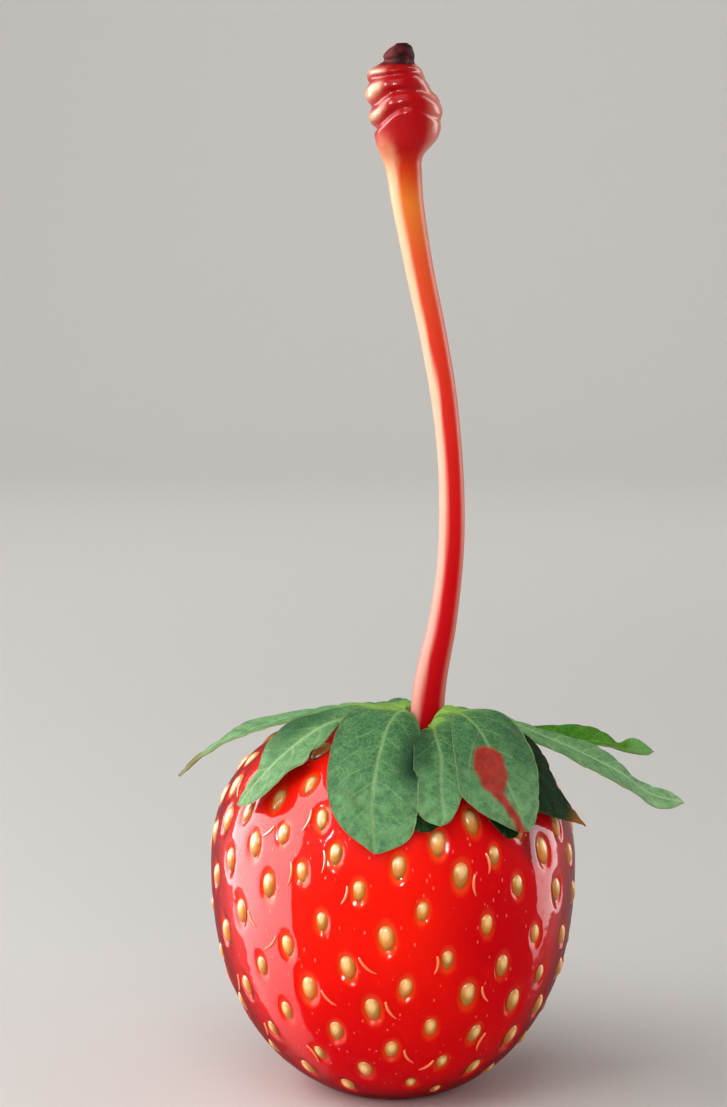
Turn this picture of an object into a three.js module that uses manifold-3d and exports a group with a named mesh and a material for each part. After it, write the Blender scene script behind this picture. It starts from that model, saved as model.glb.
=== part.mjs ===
// A ripe strawberry standing on its blunt tip, with its leafy green calyx and a long bent stalk.
// Millimetres, +Z up. The origin is the centre of the small flat spot that the fruit rests on;
// -Y is the fruit's front, where its two broadest sepals hang down, and +X is its right side.
import * as THREE from "three";
import { ConvexHull } from "three/addons/math/ConvexHull.js";
import { mergeVertices } from "three/addons/utils/BufferGeometryUtils.js";
import Module from "manifold-3d";

// ---------------------------------------------------------------- driving dimensions

const flesh = {
  radius: 16.1, // half the greatest width
  widestHeight: 19.9, // height of the greatest width above the flat spot
  lowerDepth: 20.8, // from the greatest width down to where the tip would end if it weren't flat
  lowerPower: 2.2, // 2 is an ellipse, more is blunter
  upperDepth: 14.0, // from the greatest width up to the shoulder
  upperPower: 2.4,
  flatBlend: 0.3, // height over which the side curves into the flat spot
  dimpleDepth: 1.9, // hollow in the shoulder that the calyx sits in
  dimpleRadius: 6.8,
};

const seed = {
  spiralCount: 222, // places on the whole spiral; those under the calyx or on the flat spot stay bare
  firstAngle: 51, // degrees
  halfWidth: 0.62,
  halfLength: 1.12,
  taper: 0.24, // how much narrower the lower end is
  lift: 0.14, // the crown above the flesh
  crownWidth: 0.45, // half width of the crown
  crownLength: 0.83,
  crownEdgeLift: 0,
  pitDepth: 0.34,
  pitHalfWidth: 1.2,
  pitHalfLength: 1.75,
  tipShrink: 0.3, // seeds near the tip are smaller by this share
  sizeSpread: 0.36, // from the smallest to the largest, as a share
  bareRadius: 4.2, // no seeds this near the stalk
  bareHeight: 1.6, // nor below this height
  sides: 6,
  jitter: 0.018, // radians
};

const skin = {
  // where the plain skin between the seeds gets its vertices
  spiralCount: 520,
  firstAngle: 1, // radians
  seedClearance: 2.15,
  lowest: 1.2,
  flatRings: [0.62, 0.15, -0.32], // heights of rings of the rounded tip before it is flattened
  flatSides: 24,
};

const hub = {
  x: 3.0, // the stalk grows a little to the right of the fruit's middle
  holeRadius: 1.85,
  crestRadius: 2.7,
  radius: 3.9,
  thickness: 0.9,
  crestHeight: 1.5, // above the flesh
  frontNotch: 268, // degrees: here the crest is low, and the stalk's foot shows between two sepals
  notchWidth: 26, // degrees
  sides: 28,
};

const gap = 0.35; // between the flesh and what lies on it
const bladeThickness = 0.66;

const stalk = {
  // centre line, [x, y, z] from just over the flesh up to the old bud scar
  path: [
    [2.9, 0, 32.35], [3.35, -0.1, 36.8], [4.4, -0.3, 42.2], [5.1, -0.4, 48.5], [5.1, -0.4, 54.7],
    [4.5, -0.2, 61.5], [3.35, 0.1, 68.1], [2.17, 0.3, 73.6], [1.65, 0.3, 76.5], [1.22, 0.3, 79.4],
    [1.02, 0.3, 82], [0.9, 0.2, 85.2], [0.73, 0.1, 88.4], [0.62, 0, 92.8],
  ],
  // [height, radius]
  profile: [
    [32.35, 1.5], [36.8, 1.44], [40.4, 1.32], [44, 1.2], [51, 1.14], [57, 1.1], [65, 1.17], [70, 1.2],
    [75.7, 1.29], [79.4, 1.42],
  ],
  sides: 18,
  steps: 26,
};

const knob = {
  // the swollen top end: [height, radius on the left, radius on the right]
  profile: [
    [79.4, 1.48, 1.36], [81.4, 1.66, 1.42], [82.6, 1.9, 1.5], [83.05, 2.08, 1.7], [83.4, 2.24, 2],
    [83.9, 2.42, 2.5], [84.3, 2.5, 2.85], [85.1, 2.68, 3.2], [86, 2.9, 3.37], [86.9, 3.08, 3.42],
    [87.5, 3.14, 3.33], [88, 3.16, 3], [88.4, 3.2, 2.62], [89.1, 3.28, 2.35], [89.65, 3.16, 2.12],
    [90.1, 2.96, 1.85], [90.5, 2.65, 1.62], [90.8, 2.05, 1.25], [91.05, 1.6, 1.16], [91.6, 1.55, 1.1],
    [92, 1.2, 1.02], [92.35, 0.75, 0.85], [92.65, 0.35, 0.5],
  ],
  steps: 38,
  // the scars of the old bud scales are arcs round a point this high and this far right of the centre line
  scarHeight: 83.7,
  scarSide: 0.3,
  scarFirst: 3.5, // radius of the first one
  scarPitch: 1.4,
  scarDepth: 0.34,
  scarTop: 90.9, // none above this height
};

// One entry for each sepal. azimuth is in degrees from +X, and path is [distance from the stalk, height].
// sweep turns the tip sideways in degrees. outline is [share of the length, half width on the left, half
// width on the right]. curl bends the margins down, crease bends them up, roll tips the blade over in
// degrees and twist tips its end over further. over is how much further from the flesh it lies, on others.
const sepals = [
  {
    name: "far left", azimuth: 164, sweep: 5, roll: -6, twist: 0, curl: 0.05, crease: 0.1,
    wave: 0.08, over: 0,
    path: [[2.7, 33.6], [6.1, 34.2], [9.8, 33.5], [13.5, 32.5], [17.3, 31.05], [20.1, 29.6], [22.8, 27.2]],
    outline: [
      [0, 0.95, 0.95], [0.12, 0.85, 1], [0.39, 1.2, 1.7], [0.5, 1.85, 2], [0.63, 3.15, 1.55],
      [0.695, 3.5, 1.25], [0.755, 2.1, 0.7], [0.78, 1.35, 0.9], [0.81, 1.25, 1.4], [0.855, 0.55, 0.75],
      [0.88, 0.6, 0.45], [0.96, 0.4, 0.3], [1, 0.1, 0.1],
    ],
  },
  {
    name: "left", azimuth: 214, sweep: -8, roll: -24, twist: 0, curl: -0.1, crease: 0.16,
    wave: 0.12, over: 0,
    path: [[2.7, 33.6], [6, 34.5], [10, 33.9], [14.5, 31.6], [17, 29.1], [18.3, 27.2]],
    outline: [
      [0, 0.95, 0.95], [0.15, 1.15, 0.9], [0.39, 1.45, 0.6], [0.455, 1.7, 1.4], [0.546, 2.15, 2.4],
      [0.6, 2.15, 2.35], [0.625, 2.1, 3], [0.741, 1.6, 2.95], [0.8, 0.9, 3.15], [0.854, 0.6, 3.35],
      [0.92, 0.45, 2.8], [0.97, 0.3, 1.3], [1, 0.1, 0.2],
    ],
  },
  {
    name: "front left", azimuth: 246.5, sweep: 8, roll: 2, twist: 0, curl: 0.05, crease: 0.05,
    wave: 0.16, over: 0,
    path: [[2.7, 33.2], [5.5, 33.8], [9, 33.5], [12.6, 31.8], [15.3, 29], [17.1, 25]],
    outline: [
      [0, 0.95, 0.3], [0.08, 2.2, 0.3], [0.17, 3.6, 0.7], [0.27, 4.3, 1.9], [0.37, 4.45, 2.75],
      [0.47, 4.4, 3.2], [0.615, 4.2, 3.7], [0.78, 3.65, 3.95], [0.85, 3.1, 3.8], [0.9, 2.45, 3.6],
      [0.935, 1.75, 3.3], [0.965, 1, 2.65], [0.985, 0.55, 1.6], [1, 0.1, 0.3],
    ],
  },
  {
    name: "front middle", azimuth: 275.5, sweep: -2, roll: -4, twist: 0, curl: 0.05, crease: 0.06,
    wave: 0.16, over: 0.35,
    path: [[2.7, 32.9], [5, 33.1], [8.5, 32.8], [11.7, 31.2], [14, 28.8], [15.3, 27.1]],
    outline: [
      [0, 0.2, 1.4], [0.1, 0.2, 1.9], [0.2, 0.9, 2.2], [0.3, 1.9, 2.3], [0.54, 2.2, 2.25],
      [0.74, 2.4, 2.1], [0.85, 2.4, 1.65], [0.925, 2.1, 1.2], [0.97, 1.5, 0.75], [0.99, 0.9, 0.4],
      [1, 0.3, 0.1],
    ],
  },
  {
    name: "front right", azimuth: 300.5, sweep: 2.5, roll: 3, twist: 0, curl: 0.06, crease: 0.05,
    wave: 0.16, over: 0.8,
    path: [[2.7, 33.2], [4.9, 33.8], [8, 33.4], [10.5, 31.8], [13, 28.7], [14.6, 25.8]],
    outline: [
      [0, 0.8, 0.95], [0.12, 0.95, 2.1], [0.235, 1.4, 3.2], [0.35, 2.3, 3.75], [0.45, 3.1, 3.95],
      [0.6, 4.15, 4], [0.7, 4.8, 3.75], [0.75, 5, 3.5], [0.815, 4.45, 3.05], [0.88, 3.5, 2.5],
      [0.935, 2.2, 1.8], [0.975, 1.2, 1.15], [1, 0.4, 0.4],
    ],
  },
  {
    name: "right shoulder", azimuth: 320, sweep: 20, roll: 25, twist: 0, curl: 0.1, crease: 0.05,
    wave: 0.1, over: 0,
    path: [[2.7, 33.4], [5, 33.6], [8, 32.5], [11.2, 30], [13, 27.4], [14.8, 24.8]],
    outline: [
      [0, 0.95, 0.95], [0.2, 2.2, 1.8], [0.4, 4, 2.3], [0.6, 4.6, 2.3], [0.75, 3.7, 1.7], [0.85, 2.2, 1],
      [0.93, 1, 0.5], [1, 0.15, 0.15],
    ],
  },
  {
    name: "far right", azimuth: 357, sweep: -1, roll: 18, twist: 8, curl: 0.02, crease: 0.08,
    wave: 0.14, over: 0,
    path: [[2.7, 33.4], [6.5, 33.2], [11, 31.6], [13.7, 30.4], [17, 28.7], [20.4, 26.6], [22.9, 26.1]],
    outline: [
      [0, 0.95, 0.95], [0.15, 1.4, 1], [0.32, 2, 0.9], [0.45, 1.9, 1.6], [0.53, 2.35, 2.05],
      [0.615, 2.2, 2.15], [0.695, 2.05, 1.45], [0.755, 1.75, 0.75], [0.785, 1.4, 0.62],
      [0.82, 1.25, 0.85], [0.865, 1.6, 1.08], [0.92, 1.5, 1.1], [0.96, 1.1, 0.85], [1, 0.1, 0.1],
    ],
  },
  {
    name: "upper right", azimuth: 20, sweep: -3, roll: 12, twist: 22, curl: -0.12, crease: 0.1,
    wave: 0.12, over: 0,
    path: [[2.7, 33.2], [6, 32.8], [9.6, 31.2], [12.8, 30.6], [17, 30], [20.1, 29.1], [21.7, 29.1]],
    outline: [
      [0, 0.95, 0.95], [0.2, 1.4, 1], [0.36, 1.7, 1.35], [0.5, 1.95, 1.9], [0.68, 1.7, 2.3],
      [0.73, 1.4, 2.15], [0.785, 1, 1.6], [0.83, 0.6, 0.8], [0.85, 0.4, 0.85], [0.875, 0.25, 1.25],
      [0.905, 0.2, 1.45], [0.93, 0.6, 1.4], [0.965, 0.9, 0.95], [1, 0.1, 0.1],
    ],
  },
  {
    name: "back right", azimuth: 52, sweep: 6, roll: 0, twist: 0, curl: 0.06, crease: 0.05,
    wave: 0.16, over: 0,
    path: [[2.7, 33.2], [6, 33.2], [10, 31.6], [13.6, 29.1], [16, 25.6]],
    outline: [
      [0, 0.95, 0.95], [0.15, 1.9, 1.8], [0.35, 3, 2.9], [0.55, 3.2, 3.2], [0.75, 2.6, 2.7],
      [0.88, 1.6, 1.7], [0.96, 0.8, 0.8], [1, 0.2, 0.2],
    ],
  },
  {
    name: "back", azimuth: 86, sweep: -5, roll: 3, twist: 0, curl: 0.05, crease: 0.05,
    wave: 0.18, over: 0.35,
    path: [[2.7, 33.1], [6, 33.2], [10.5, 31.8], [14.5, 29.2], [17.4, 25.4]],
    outline: [
      [0, 0.95, 0.95], [0.15, 2.2, 2.1], [0.35, 3.5, 3.3], [0.6, 3.7, 3.7], [0.78, 3, 3.1],
      [0.9, 1.8, 1.9], [0.965, 0.9, 1], [1, 0.2, 0.2],
    ],
  },
  {
    name: "back left", azimuth: 120, sweep: 4, roll: -4, twist: 0, curl: 0.04, crease: 0.06,
    wave: 0.16, over: 0,
    path: [[2.7, 33.3], [6, 33.6], [11, 32.3], [15.2, 29.6], [18, 25.8]],
    outline: [
      [0, 0.95, 0.95], [0.18, 1.9, 1.9], [0.4, 3, 2.9], [0.55, 3.1, 3.05], [0.585, 2, 3],
      [0.62, 2.8, 2.95], [0.78, 2.1, 2.2], [0.9, 1.1, 1.2], [1, 0.2, 0.2],
    ],
  },
  {
    name: "left bract", azimuth: 188, sweep: 0, roll: 0, twist: 0, curl: 0.05, crease: 0.05,
    wave: 0.04, over: 0,
    path: [[2.7, 33.2], [5, 33.3], [8, 32.8], [10.6, 31.9], [12.4, 30.6]],
    outline: [
      [0, 0.95, 0.95], [0.3, 1.4, 1.4], [0.55, 1.6, 1.6], [0.8, 0.95, 0.95], [1, 0.15, 0.15],
    ],
  },
  {
    name: "front bract", azimuth: 268, sweep: 0, roll: 0, twist: 0, curl: 0.05, crease: 0.05,
    wave: 0.04, over: 0,
    path: [[3.4, 32.4], [5.5, 32.6], [9, 32.4], [12.8, 30.2], [15.5, 26.6]],
    outline: [
      [0, 0.8, 0.8], [0.4, 1.6, 1.6], [0.7, 2.1, 2.1], [0.88, 1.8, 1.9], [0.96, 1.1, 1.3], [1, 0.4, 0.5],
    ],
  },
  {
    name: "right bract", azimuth: 299, sweep: 0, roll: 0, twist: 0, curl: 0.05, crease: 0.05,
    wave: 0.04, over: 0,
    path: [[2.7, 32.7], [5.2, 32.8], [8.4, 32.2], [11.8, 29.6], [14.4, 25.4]],
    outline: [
      [0, 0.95, 0.95], [0.4, 2.3, 2.3], [0.65, 2.8, 2.8], [0.85, 1.9, 2.1], [0.95, 0.9, 1.3],
      [1, 0.3, 0.5],
    ],
  },
];

const bladeColumns = 4; // cells across a sepal
const longestRow = 0.09; // greatest share of the length between two rows of a sepal's points
const tipHalfWidth = 0.22;

const berryPaint = { color: 0xc4100c, roughness: 0.2, metalness: 0 };
const calyxPaint = { color: 0x5c9a58, roughness: 0.6, metalness: 0 };
const stalkPaint = { color: 0xc8322a, roughness: 0.3, metalness: 0 };

// ---------------------------------------------------------------- helpers

const wasm = await Module();
wasm.setup();

const radians = THREE.MathUtils.degToRad;
const smoothstep = THREE.MathUtils.smoothstep;
const golden = Math.PI * (3 - Math.sqrt(5));

// A repeatable stream of numbers from 0 to 1.
function seededRandom(start) {
  let state = start;
  return () => {
    state = (state * 16807) % 2147483647;
    return state / 2147483647;
  };
}

// A closed geometry as a manifold-3d solid.
function toSolid(geometry) {
  const bare = new THREE.BufferGeometry();
  bare.setAttribute("position", geometry.getAttribute("position"));
  bare.setIndex(geometry.getIndex());
  const merged = mergeVertices(bare, 1e-4);
  return new wasm.Manifold(
    new wasm.Mesh({
      numProp: 3,
      vertProperties: merged.getAttribute("position").array,
      triVerts: new Uint32Array(merged.getIndex().array),
    }),
  );
}

// A manifold-3d solid as a geometry with normals.
function toGeometry(solid) {
  const mesh = solid.getMesh();
  const geometry = new THREE.BufferGeometry();
  geometry.setAttribute("position", new THREE.BufferAttribute(new Float32Array(mesh.vertProperties), 3));
  geometry.setIndex(new THREE.BufferAttribute(mesh.triVerts, 1));
  geometry.computeVertexNormals();
  return geometry;
}

function geometryOf(points, triangles) {
  const geometry = new THREE.BufferGeometry();
  const numbers = points.flatMap((point) => point.toArray());
  geometry.setAttribute("position", new THREE.Float32BufferAttribute(numbers, 3));
  geometry.setIndex(triangles.flat());
  geometry.computeVertexNormals();
  return geometry;
}

function namedMesh(name, geometry, paint) {
  const mesh = new THREE.Mesh(geometry, new THREE.MeshStandardMaterial(paint));
  mesh.name = name;
  return mesh;
}

// ---------------------------------------------------------------- the fruit's surface

// The fruit isn't quite round: its radius changes by this factor with the direction.
function lobe(angle) {
  return 1 + 0.011 * Math.sin(2 * angle + 1.9) + 0.008 * Math.sin(3 * angle + 0.4);
}

function dimpleAt(x, y) {
  const away = ((x - hub.x) ** 2 + y ** 2) / flesh.dimpleRadius ** 2;
  return flesh.dimpleDepth * Math.exp(-away);
}

// The point of the smooth skin that a unit direction stands for.
function skinPoint(direction) {
  const { x, y, z } = direction;
  const across = Math.hypot(x, y);
  const power = z > 0 ? flesh.upperPower : flesh.lowerPower;
  const depth = z > 0 ? flesh.upperDepth : -flesh.lowerDepth;
  const angle = Math.atan2(y, x);
  const radius = flesh.radius * lobe(angle) * across ** (2 / power);
  const point = new THREE.Vector3(radius * Math.cos(angle), radius * Math.sin(angle), 0);
  point.z = flesh.widestHeight + depth * Math.abs(z) ** (2 / power);
  if (z > 0) point.z -= dimpleAt(point.x, point.y);
  const blend = flesh.flatBlend;
  if (point.z < -blend) point.z = 0;
  else if (point.z < blend) point.z = (point.z + blend) ** 2 / (4 * blend);
  return point;
}

// Negative inside the fruit, 0 on its skin and positive outside.
function skinLevel(point) {
  const height = point.z + dimpleAt(point.x, point.y) - flesh.widestHeight;
  const power = height > 0 ? flesh.upperPower : flesh.lowerPower;
  const depth = height > 0 ? flesh.upperDepth : flesh.lowerDepth;
  const radius = Math.hypot(point.x, point.y) / lobe(Math.atan2(point.y, point.x));
  return (radius / flesh.radius) ** power + (Math.abs(height) / depth) ** power - 1;
}

// The gradient of skinLevel.
function skinSlope(point) {
  const step = 1e-3;
  const slope = new THREE.Vector3();
  for (const axis of ["x", "y", "z"]) {
    const ahead = point.clone();
    const behind = point.clone();
    ahead[axis] += step;
    behind[axis] -= step;
    slope[axis] = (skinLevel(ahead) - skinLevel(behind)) / (2 * step);
  }
  return slope;
}

// Moves a point out until it is at least this far from the skin, easing in over the last bit.
function keepOff(point, distance) {
  for (let pass = 0; pass < 3; pass++) {
    const slope = skinSlope(point);
    const steepness = slope.length();
    const away = skinLevel(point) / steepness;
    const ease = 0.25;
    const short = distance - away;
    let push = 0;
    if (short > ease) push = short;
    else if (short > -ease) push = (short + ease) ** 2 / (4 * ease);
    if (push < 1e-4) break;
    point.addScaledVector(slope, push / steepness);
  }
  return point;
}

// Height of the smooth skin over a spot of the shoulder.
function shoulderHeight(x, y) {
  const radius = Math.hypot(x, y) / lobe(Math.atan2(y, x)) / flesh.radius;
  const rise = (1 - radius ** flesh.upperPower) ** (1 / flesh.upperPower);
  return flesh.widestHeight + flesh.upperDepth * rise - dimpleAt(x, y);
}

// ---------------------------------------------------------------- berry: flesh, pits and seeds

function onSphere(height, angle) {
  const across = Math.sqrt(1 - height * height);
  return new THREE.Vector3(across * Math.cos(angle), across * Math.sin(angle), height);
}

// East and north on the unit sphere at a direction, each scaled to 1 mm along the skin.
function skinAxes(direction) {
  const east = new THREE.Vector3(-direction.y, direction.x, 0).normalize();
  const north = direction.clone().cross(east);
  const here = skinPoint(direction);
  const step = 1e-3;
  return [east, north].map((axis) => {
    const there = skinPoint(direction.clone().addScaledVector(axis, step).normalize());
    return axis.multiplyScalar(step / there.distanceTo(here));
  });
}

// Where the seeds sit: a golden-angle spiral from the shoulder to the tip, each nudged a little.
function seedPlaces() {
  const random = seededRandom(7);
  const places = [];
  for (let i = 0; i < seed.spiralCount; i++) {
    const height = 1 - (2 * i + 1) / seed.spiralCount;
    const direction = onSphere(height, radians(seed.firstAngle) + i * golden);
    const nudge = new THREE.Vector3(random() - 0.5, random() - 0.5, random() - 0.5);
    direction.addScaledVector(nudge, 2 * seed.jitter).normalize();
    const point = skinPoint(direction);
    if (Math.hypot(point.x - hub.x, point.y) < seed.bareRadius && height > 0) continue;
    if (point.z < seed.bareHeight) continue;
    const shrink = 1 - seed.tipShrink * Math.max(0, -height) ** 3;
    places.push({ direction, size: shrink * (1 + seed.sizeSpread * nudge.z) });
  }
  return places;
}

// Rings of samples round one seed, each a direction and its height over the smooth skin.
function seedSamples({ direction, size }) {
  const [east, north] = skinAxes(direction);
  const rings = [
    { width: seed.pitHalfWidth, length: seed.pitHalfLength, lift: 0, taper: 0 },
    { width: seed.halfWidth, length: seed.halfLength, lift: -seed.pitDepth, taper: seed.taper },
    { width: seed.crownWidth, length: seed.crownLength, lift: seed.crownEdgeLift, taper: seed.taper },
  ];
  const samples = [{ direction, lift: seed.lift }];
  for (const ring of rings) {
    for (let k = 0; k < seed.sides; k++) {
      const turn = (2 * Math.PI * (k + 0.5)) / seed.sides;
      const narrowing = 1 + ring.taper * Math.cos(turn);
      samples.push({
        direction: direction
          .clone()
          .addScaledVector(east, size * ring.width * Math.sin(turn) * narrowing)
          .addScaledVector(north, size * ring.length * Math.cos(turn))
          .normalize(),
        lift: ring.lift * size,
      });
    }
  }
  return samples;
}

// Samples of the plain skin, away from the seeds and the flat spot.
function plainSamples(places) {
  const centres = places.map((place) => skinPoint(place.direction));
  const samples = [];
  for (let i = 0; i < skin.spiralCount; i++) {
    const direction = onSphere(1 - (2 * i + 1) / skin.spiralCount, skin.firstAngle + i * golden);
    const point = skinPoint(direction);
    const crowded = centres.some((centre) => centre.distanceTo(point) < skin.seedClearance);
    if (point.z > skin.lowest && !crowded) samples.push({ direction, lift: 0 });
  }
  return samples;
}

// Rings of samples round the flat spot, and its centre.
function flatSamples() {
  const samples = [{ direction: new THREE.Vector3(0, 0, -1), lift: 0 }];
  skin.flatRings.forEach((height, ring) => {
    const down = -(((flesh.widestHeight - height) / flesh.lowerDepth) ** (flesh.lowerPower / 2));
    for (let k = 0; k < skin.flatSides; k++) {
      const angle = (2 * Math.PI * (k + (ring % 2) / 2)) / skin.flatSides;
      samples.push({ direction: onSphere(down, angle), lift: 0 });
    }
  });
  return samples;
}

// The hull of the samples on the unit sphere says which of them are neighbours; then each goes to its place.
function berryGeometry() {
  const places = seedPlaces();
  const samples = [...flatSamples(), ...plainSamples(places), ...places.flatMap(seedSamples)];
  const numberOf = new Map(samples.map((sample, i) => [sample.direction, i]));
  const hull = new ConvexHull().setFromPoints(samples.map((sample) => sample.direction));
  const triangles = hull.faces.map((face) => {
    const { edge } = face;
    return [edge, edge.next, edge.prev].map((e) => numberOf.get(e.head().point));
  });
  const points = samples.map(({ direction, lift }) => {
    const point = skinPoint(direction);
    return lift ? point.addScaledVector(skinSlope(point).normalize(), lift) : point;
  });
  return geometryOf(points, triangles);
}

// ---------------------------------------------------------------- calyx: hub and sepals

// The ring that the sepals share, lying in the fruit's dimple round the stalk.
function hubGeometry() {
  const rows = 5;
  const points = [];
  const triangles = [];
  for (let i = 0; i < hub.sides; i++) {
    const angle = (2 * Math.PI * i) / hub.sides;
    const away = ((360 * i) / hub.sides - hub.frontNotch) / hub.notchWidth;
    const low = Math.exp(-(away ** 2));
    const crest = THREE.MathUtils.lerp(hub.crestHeight, hub.thickness, low);
    const section = [
      [hub.holeRadius, gap],
      [hub.radius, gap],
      [hub.radius + 0.15, hub.thickness],
      [hub.crestRadius, crest],
      [hub.holeRadius, crest - 0.15],
    ];
    for (const [radius, lift] of section) {
      const x = hub.x + radius * Math.cos(angle);
      const y = radius * Math.sin(angle);
      points.push(new THREE.Vector3(x, y, shoulderHeight(x, y) + lift));
    }
  }
  for (let i = 0; i < hub.sides; i++) {
    for (let j = 0; j < rows; j++) {
      const a = i * rows + j;
      const b = i * rows + ((j + 1) % rows);
      const c = ((i + 1) % hub.sides) * rows + j;
      const d = ((i + 1) % hub.sides) * rows + ((j + 1) % rows);
      triangles.push([a, d, b], [a, c, d]);
    }
  }
  return geometryOf(points, triangles);
}

// Rows of a sepal's points: one at each point of its outline, and more where those are far apart.
function rowsOf({ outline }) {
  const rows = [outline[0]];
  for (let i = 1; i < outline.length; i++) {
    const steps = Math.ceil((outline[i][0] - outline[i - 1][0]) / longestRow);
    for (let k = 1; k <= steps; k++) {
      rows.push(outline[i].map((value, n) => THREE.MathUtils.lerp(outline[i - 1][n], value, k / steps)));
    }
  }
  return rows;
}

function bladeGeometry(sepal) {
  const midrib = new THREE.CatmullRomCurve3(sepal.path.map(([x, z]) => new THREE.Vector3(x, 0, z)));
  const up = new THREE.Vector3(0, 0, 1);
  const centreAt = (share) => {
    const { x: radius, z } = midrib.getPointAt(share);
    const angle = radians(sepal.azimuth + sepal.sweep * share * share);
    return new THREE.Vector3(hub.x + radius * Math.cos(angle), radius * Math.sin(angle), z);
  };
  const columns = bladeColumns;
  const rows = rowsOf(sepal);
  const top = [];
  const bottom = [];
  for (const [share, left, right] of rows) {
    const centre = centreAt(share);
    const along = centreAt(Math.min(1, share + 0.02)).sub(centreAt(Math.max(0, share - 0.02))).normalize();
    const side = up.clone().cross(along).normalize();
    const roll = sepal.roll * smoothstep(share, 0, 0.4) + sepal.twist * smoothstep(share, 0.75, 1);
    side.applyAxisAngle(along, radians(roll));
    const normal = along.clone().cross(side);
    for (let j = 0; j <= columns; j++) {
      const across = (2 * j) / columns - 1;
      const width = Math.max(across < 0 ? left : right, tipHalfWidth);
      const ripple = sepal.wave * Math.sin(9 * share + 2 * across + sepal.azimuth) * across * across * share;
      const fold = sepal.crease * Math.abs(across) * width * smoothstep(share, 0, 0.3);
      const lift = ripple + fold - sepal.curl * width * across * across * share * 2;
      const point = centre.clone().addScaledVector(side, across * width).addScaledVector(normal, lift);
      keepOff(point, gap + seed.lift + bladeThickness / 2 + sepal.over);
      top.push(point.clone().addScaledVector(normal, bladeThickness / 2));
      bottom.push(point.clone().addScaledVector(normal, -bladeThickness / 2));
    }
  }
  const points = [...top, ...bottom];
  const triangles = [];
  const wide = columns + 1;
  const under = top.length;
  for (let i = 0; i < rows.length - 1; i++) {
    for (let j = 0; j < columns; j++) {
      const a = i * wide + j;
      const b = a + 1;
      const c = a + wide;
      const d = c + 1;
      triangles.push([a, d, b], [a, c, d]);
      triangles.push([under + a, under + b, under + d], [under + a, under + d, under + c]);
    }
    for (const [j, flip] of [[0, false], [columns, true]]) {
      const a = i * wide + j;
      const c = a + wide;
      if (flip) triangles.push([a, c, under + c], [a, under + c, under + a]);
      else triangles.push([a, under + c, c], [a, under + a, under + c]);
    }
  }
  for (let j = 0; j < columns; j++) {
    const first = j;
    const last = (rows.length - 1) * wide + j;
    triangles.push([first, first + 1, under + first + 1], [first, under + first + 1, under + first]);
    triangles.push([last, under + last + 1, last + 1], [last, under + last, under + last + 1]);
  }
  return geometryOf(points, triangles);
}

// Hub and sepals joined, with the small hollows that their joining seals filled in.
function calyxGeometry() {
  const solids = [hubGeometry(), ...sepals.map(bladeGeometry)].map(toSolid);
  const shells = wasm.Manifold.union(solids).decompose();
  shells.sort((a, b) => b.volume() - a.volume());
  return toGeometry(shells[0]);
}

// ---------------------------------------------------------------- stalk with its knob

// The share of a rising curve at which one of its coordinates reaches a value.
function shareAt(curve, axis, value) {
  let low = 0;
  let high = 1;
  for (let pass = 0; pass < 24; pass++) {
    const middle = (low + high) / 2;
    if (curve.getPoint(middle)[axis] < value) low = middle;
    else high = middle;
  }
  return low;
}

// Radii on the left and right at a height.
function stalkRadii(height) {
  const below = stalk.profile.map(([z, radius]) => new THREE.Vector3(radius, radius, z));
  const above = knob.profile.map(([z, left, right]) => new THREE.Vector3(left, right, z));
  const curve = new THREE.CatmullRomCurve3([...below.slice(0, -1), ...above]);
  const { x: left, y: right } = curve.getPoint(shareAt(curve, "z", height));
  return { left, right };
}

// How deep the scars cut at a height and a place across the knob, from -1 on the left to 1 on the right.
function scarCut(height, across, radius) {
  const outward = Math.hypot(height - knob.scarHeight, across * radius - knob.scarSide) - knob.scarFirst;
  const within = smoothstep(outward, -0.6, -0.1) * (height > knob.scarHeight && height < knob.scarTop);
  const ring = (0.5 + 0.5 * Math.cos((2 * Math.PI * outward) / knob.scarPitch)) ** 2;
  return knob.scarDepth * ring * within * (0.65 - 0.35 * across);
}

function stalkGeometry() {
  const foot = stalk.profile[0][0];
  const joint = knob.profile[0][0];
  const end = knob.profile.at(-1)[0];
  const heights = [];
  for (let i = 0; i < stalk.steps; i++) heights.push(foot + ((joint - foot) * i) / stalk.steps);
  for (let i = 0; i <= knob.steps; i++) heights.push(joint + ((end - joint) * i) / knob.steps);
  const outline = [[0, foot], ...heights.map((height) => [1, height]), [0, end]];

  // a straight rod of radius 1, then each ring goes to its radii and its place on the centre line
  const geometry = new THREE.LatheGeometry(outline.map((point) => new THREE.Vector2(...point)), stalk.sides);
  const centreLine = new THREE.CatmullRomCurve3(stalk.path.map((point) => new THREE.Vector3(...point)));
  const rearward = new THREE.Vector3(0, 1, 0);
  const position = geometry.getAttribute("position");
  for (let i = 0; i < position.count; i++) {
    const across = position.getX(i);
    const height = position.getY(i);
    const { left, right } = stalkRadii(height);
    const mean = (left + right) / 2;
    const radius = mean + ((right - left) / 2) * across - scarCut(height, across, mean);
    const share = shareAt(centreLine, "z", height);
    const tangent = centreLine.getTangent(share);
    const rightward = rearward.clone().cross(tangent).normalize();
    const frontward = rightward.clone().cross(tangent);
    const point = centreLine.getPoint(share);
    point.addScaledVector(rightward, radius * across).addScaledVector(frontward, radius * position.getZ(i));
    position.setXYZ(i, point.x, point.y, point.z);
  }
  return geometry;
}

// ---------------------------------------------------------------- assembly

const strawberry = new THREE.Group();
strawberry.name = "strawberry";
strawberry.add(
  namedMesh("berry", berryGeometry(), berryPaint),
  namedMesh("calyx", calyxGeometry(), calyxPaint),
  namedMesh("stalk", stalkGeometry(), stalkPaint),
);

export default strawberry;
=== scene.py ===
# A ripe strawberry that stands on its blunt tip, with a leafy calyx and a long bent stalk.
# The dictionaries hold millimetres and degrees. -Y is the front, +X the right side, +Z is up.
import math

import bmesh
import bpy
import numpy as np
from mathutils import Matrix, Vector, noise


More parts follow.
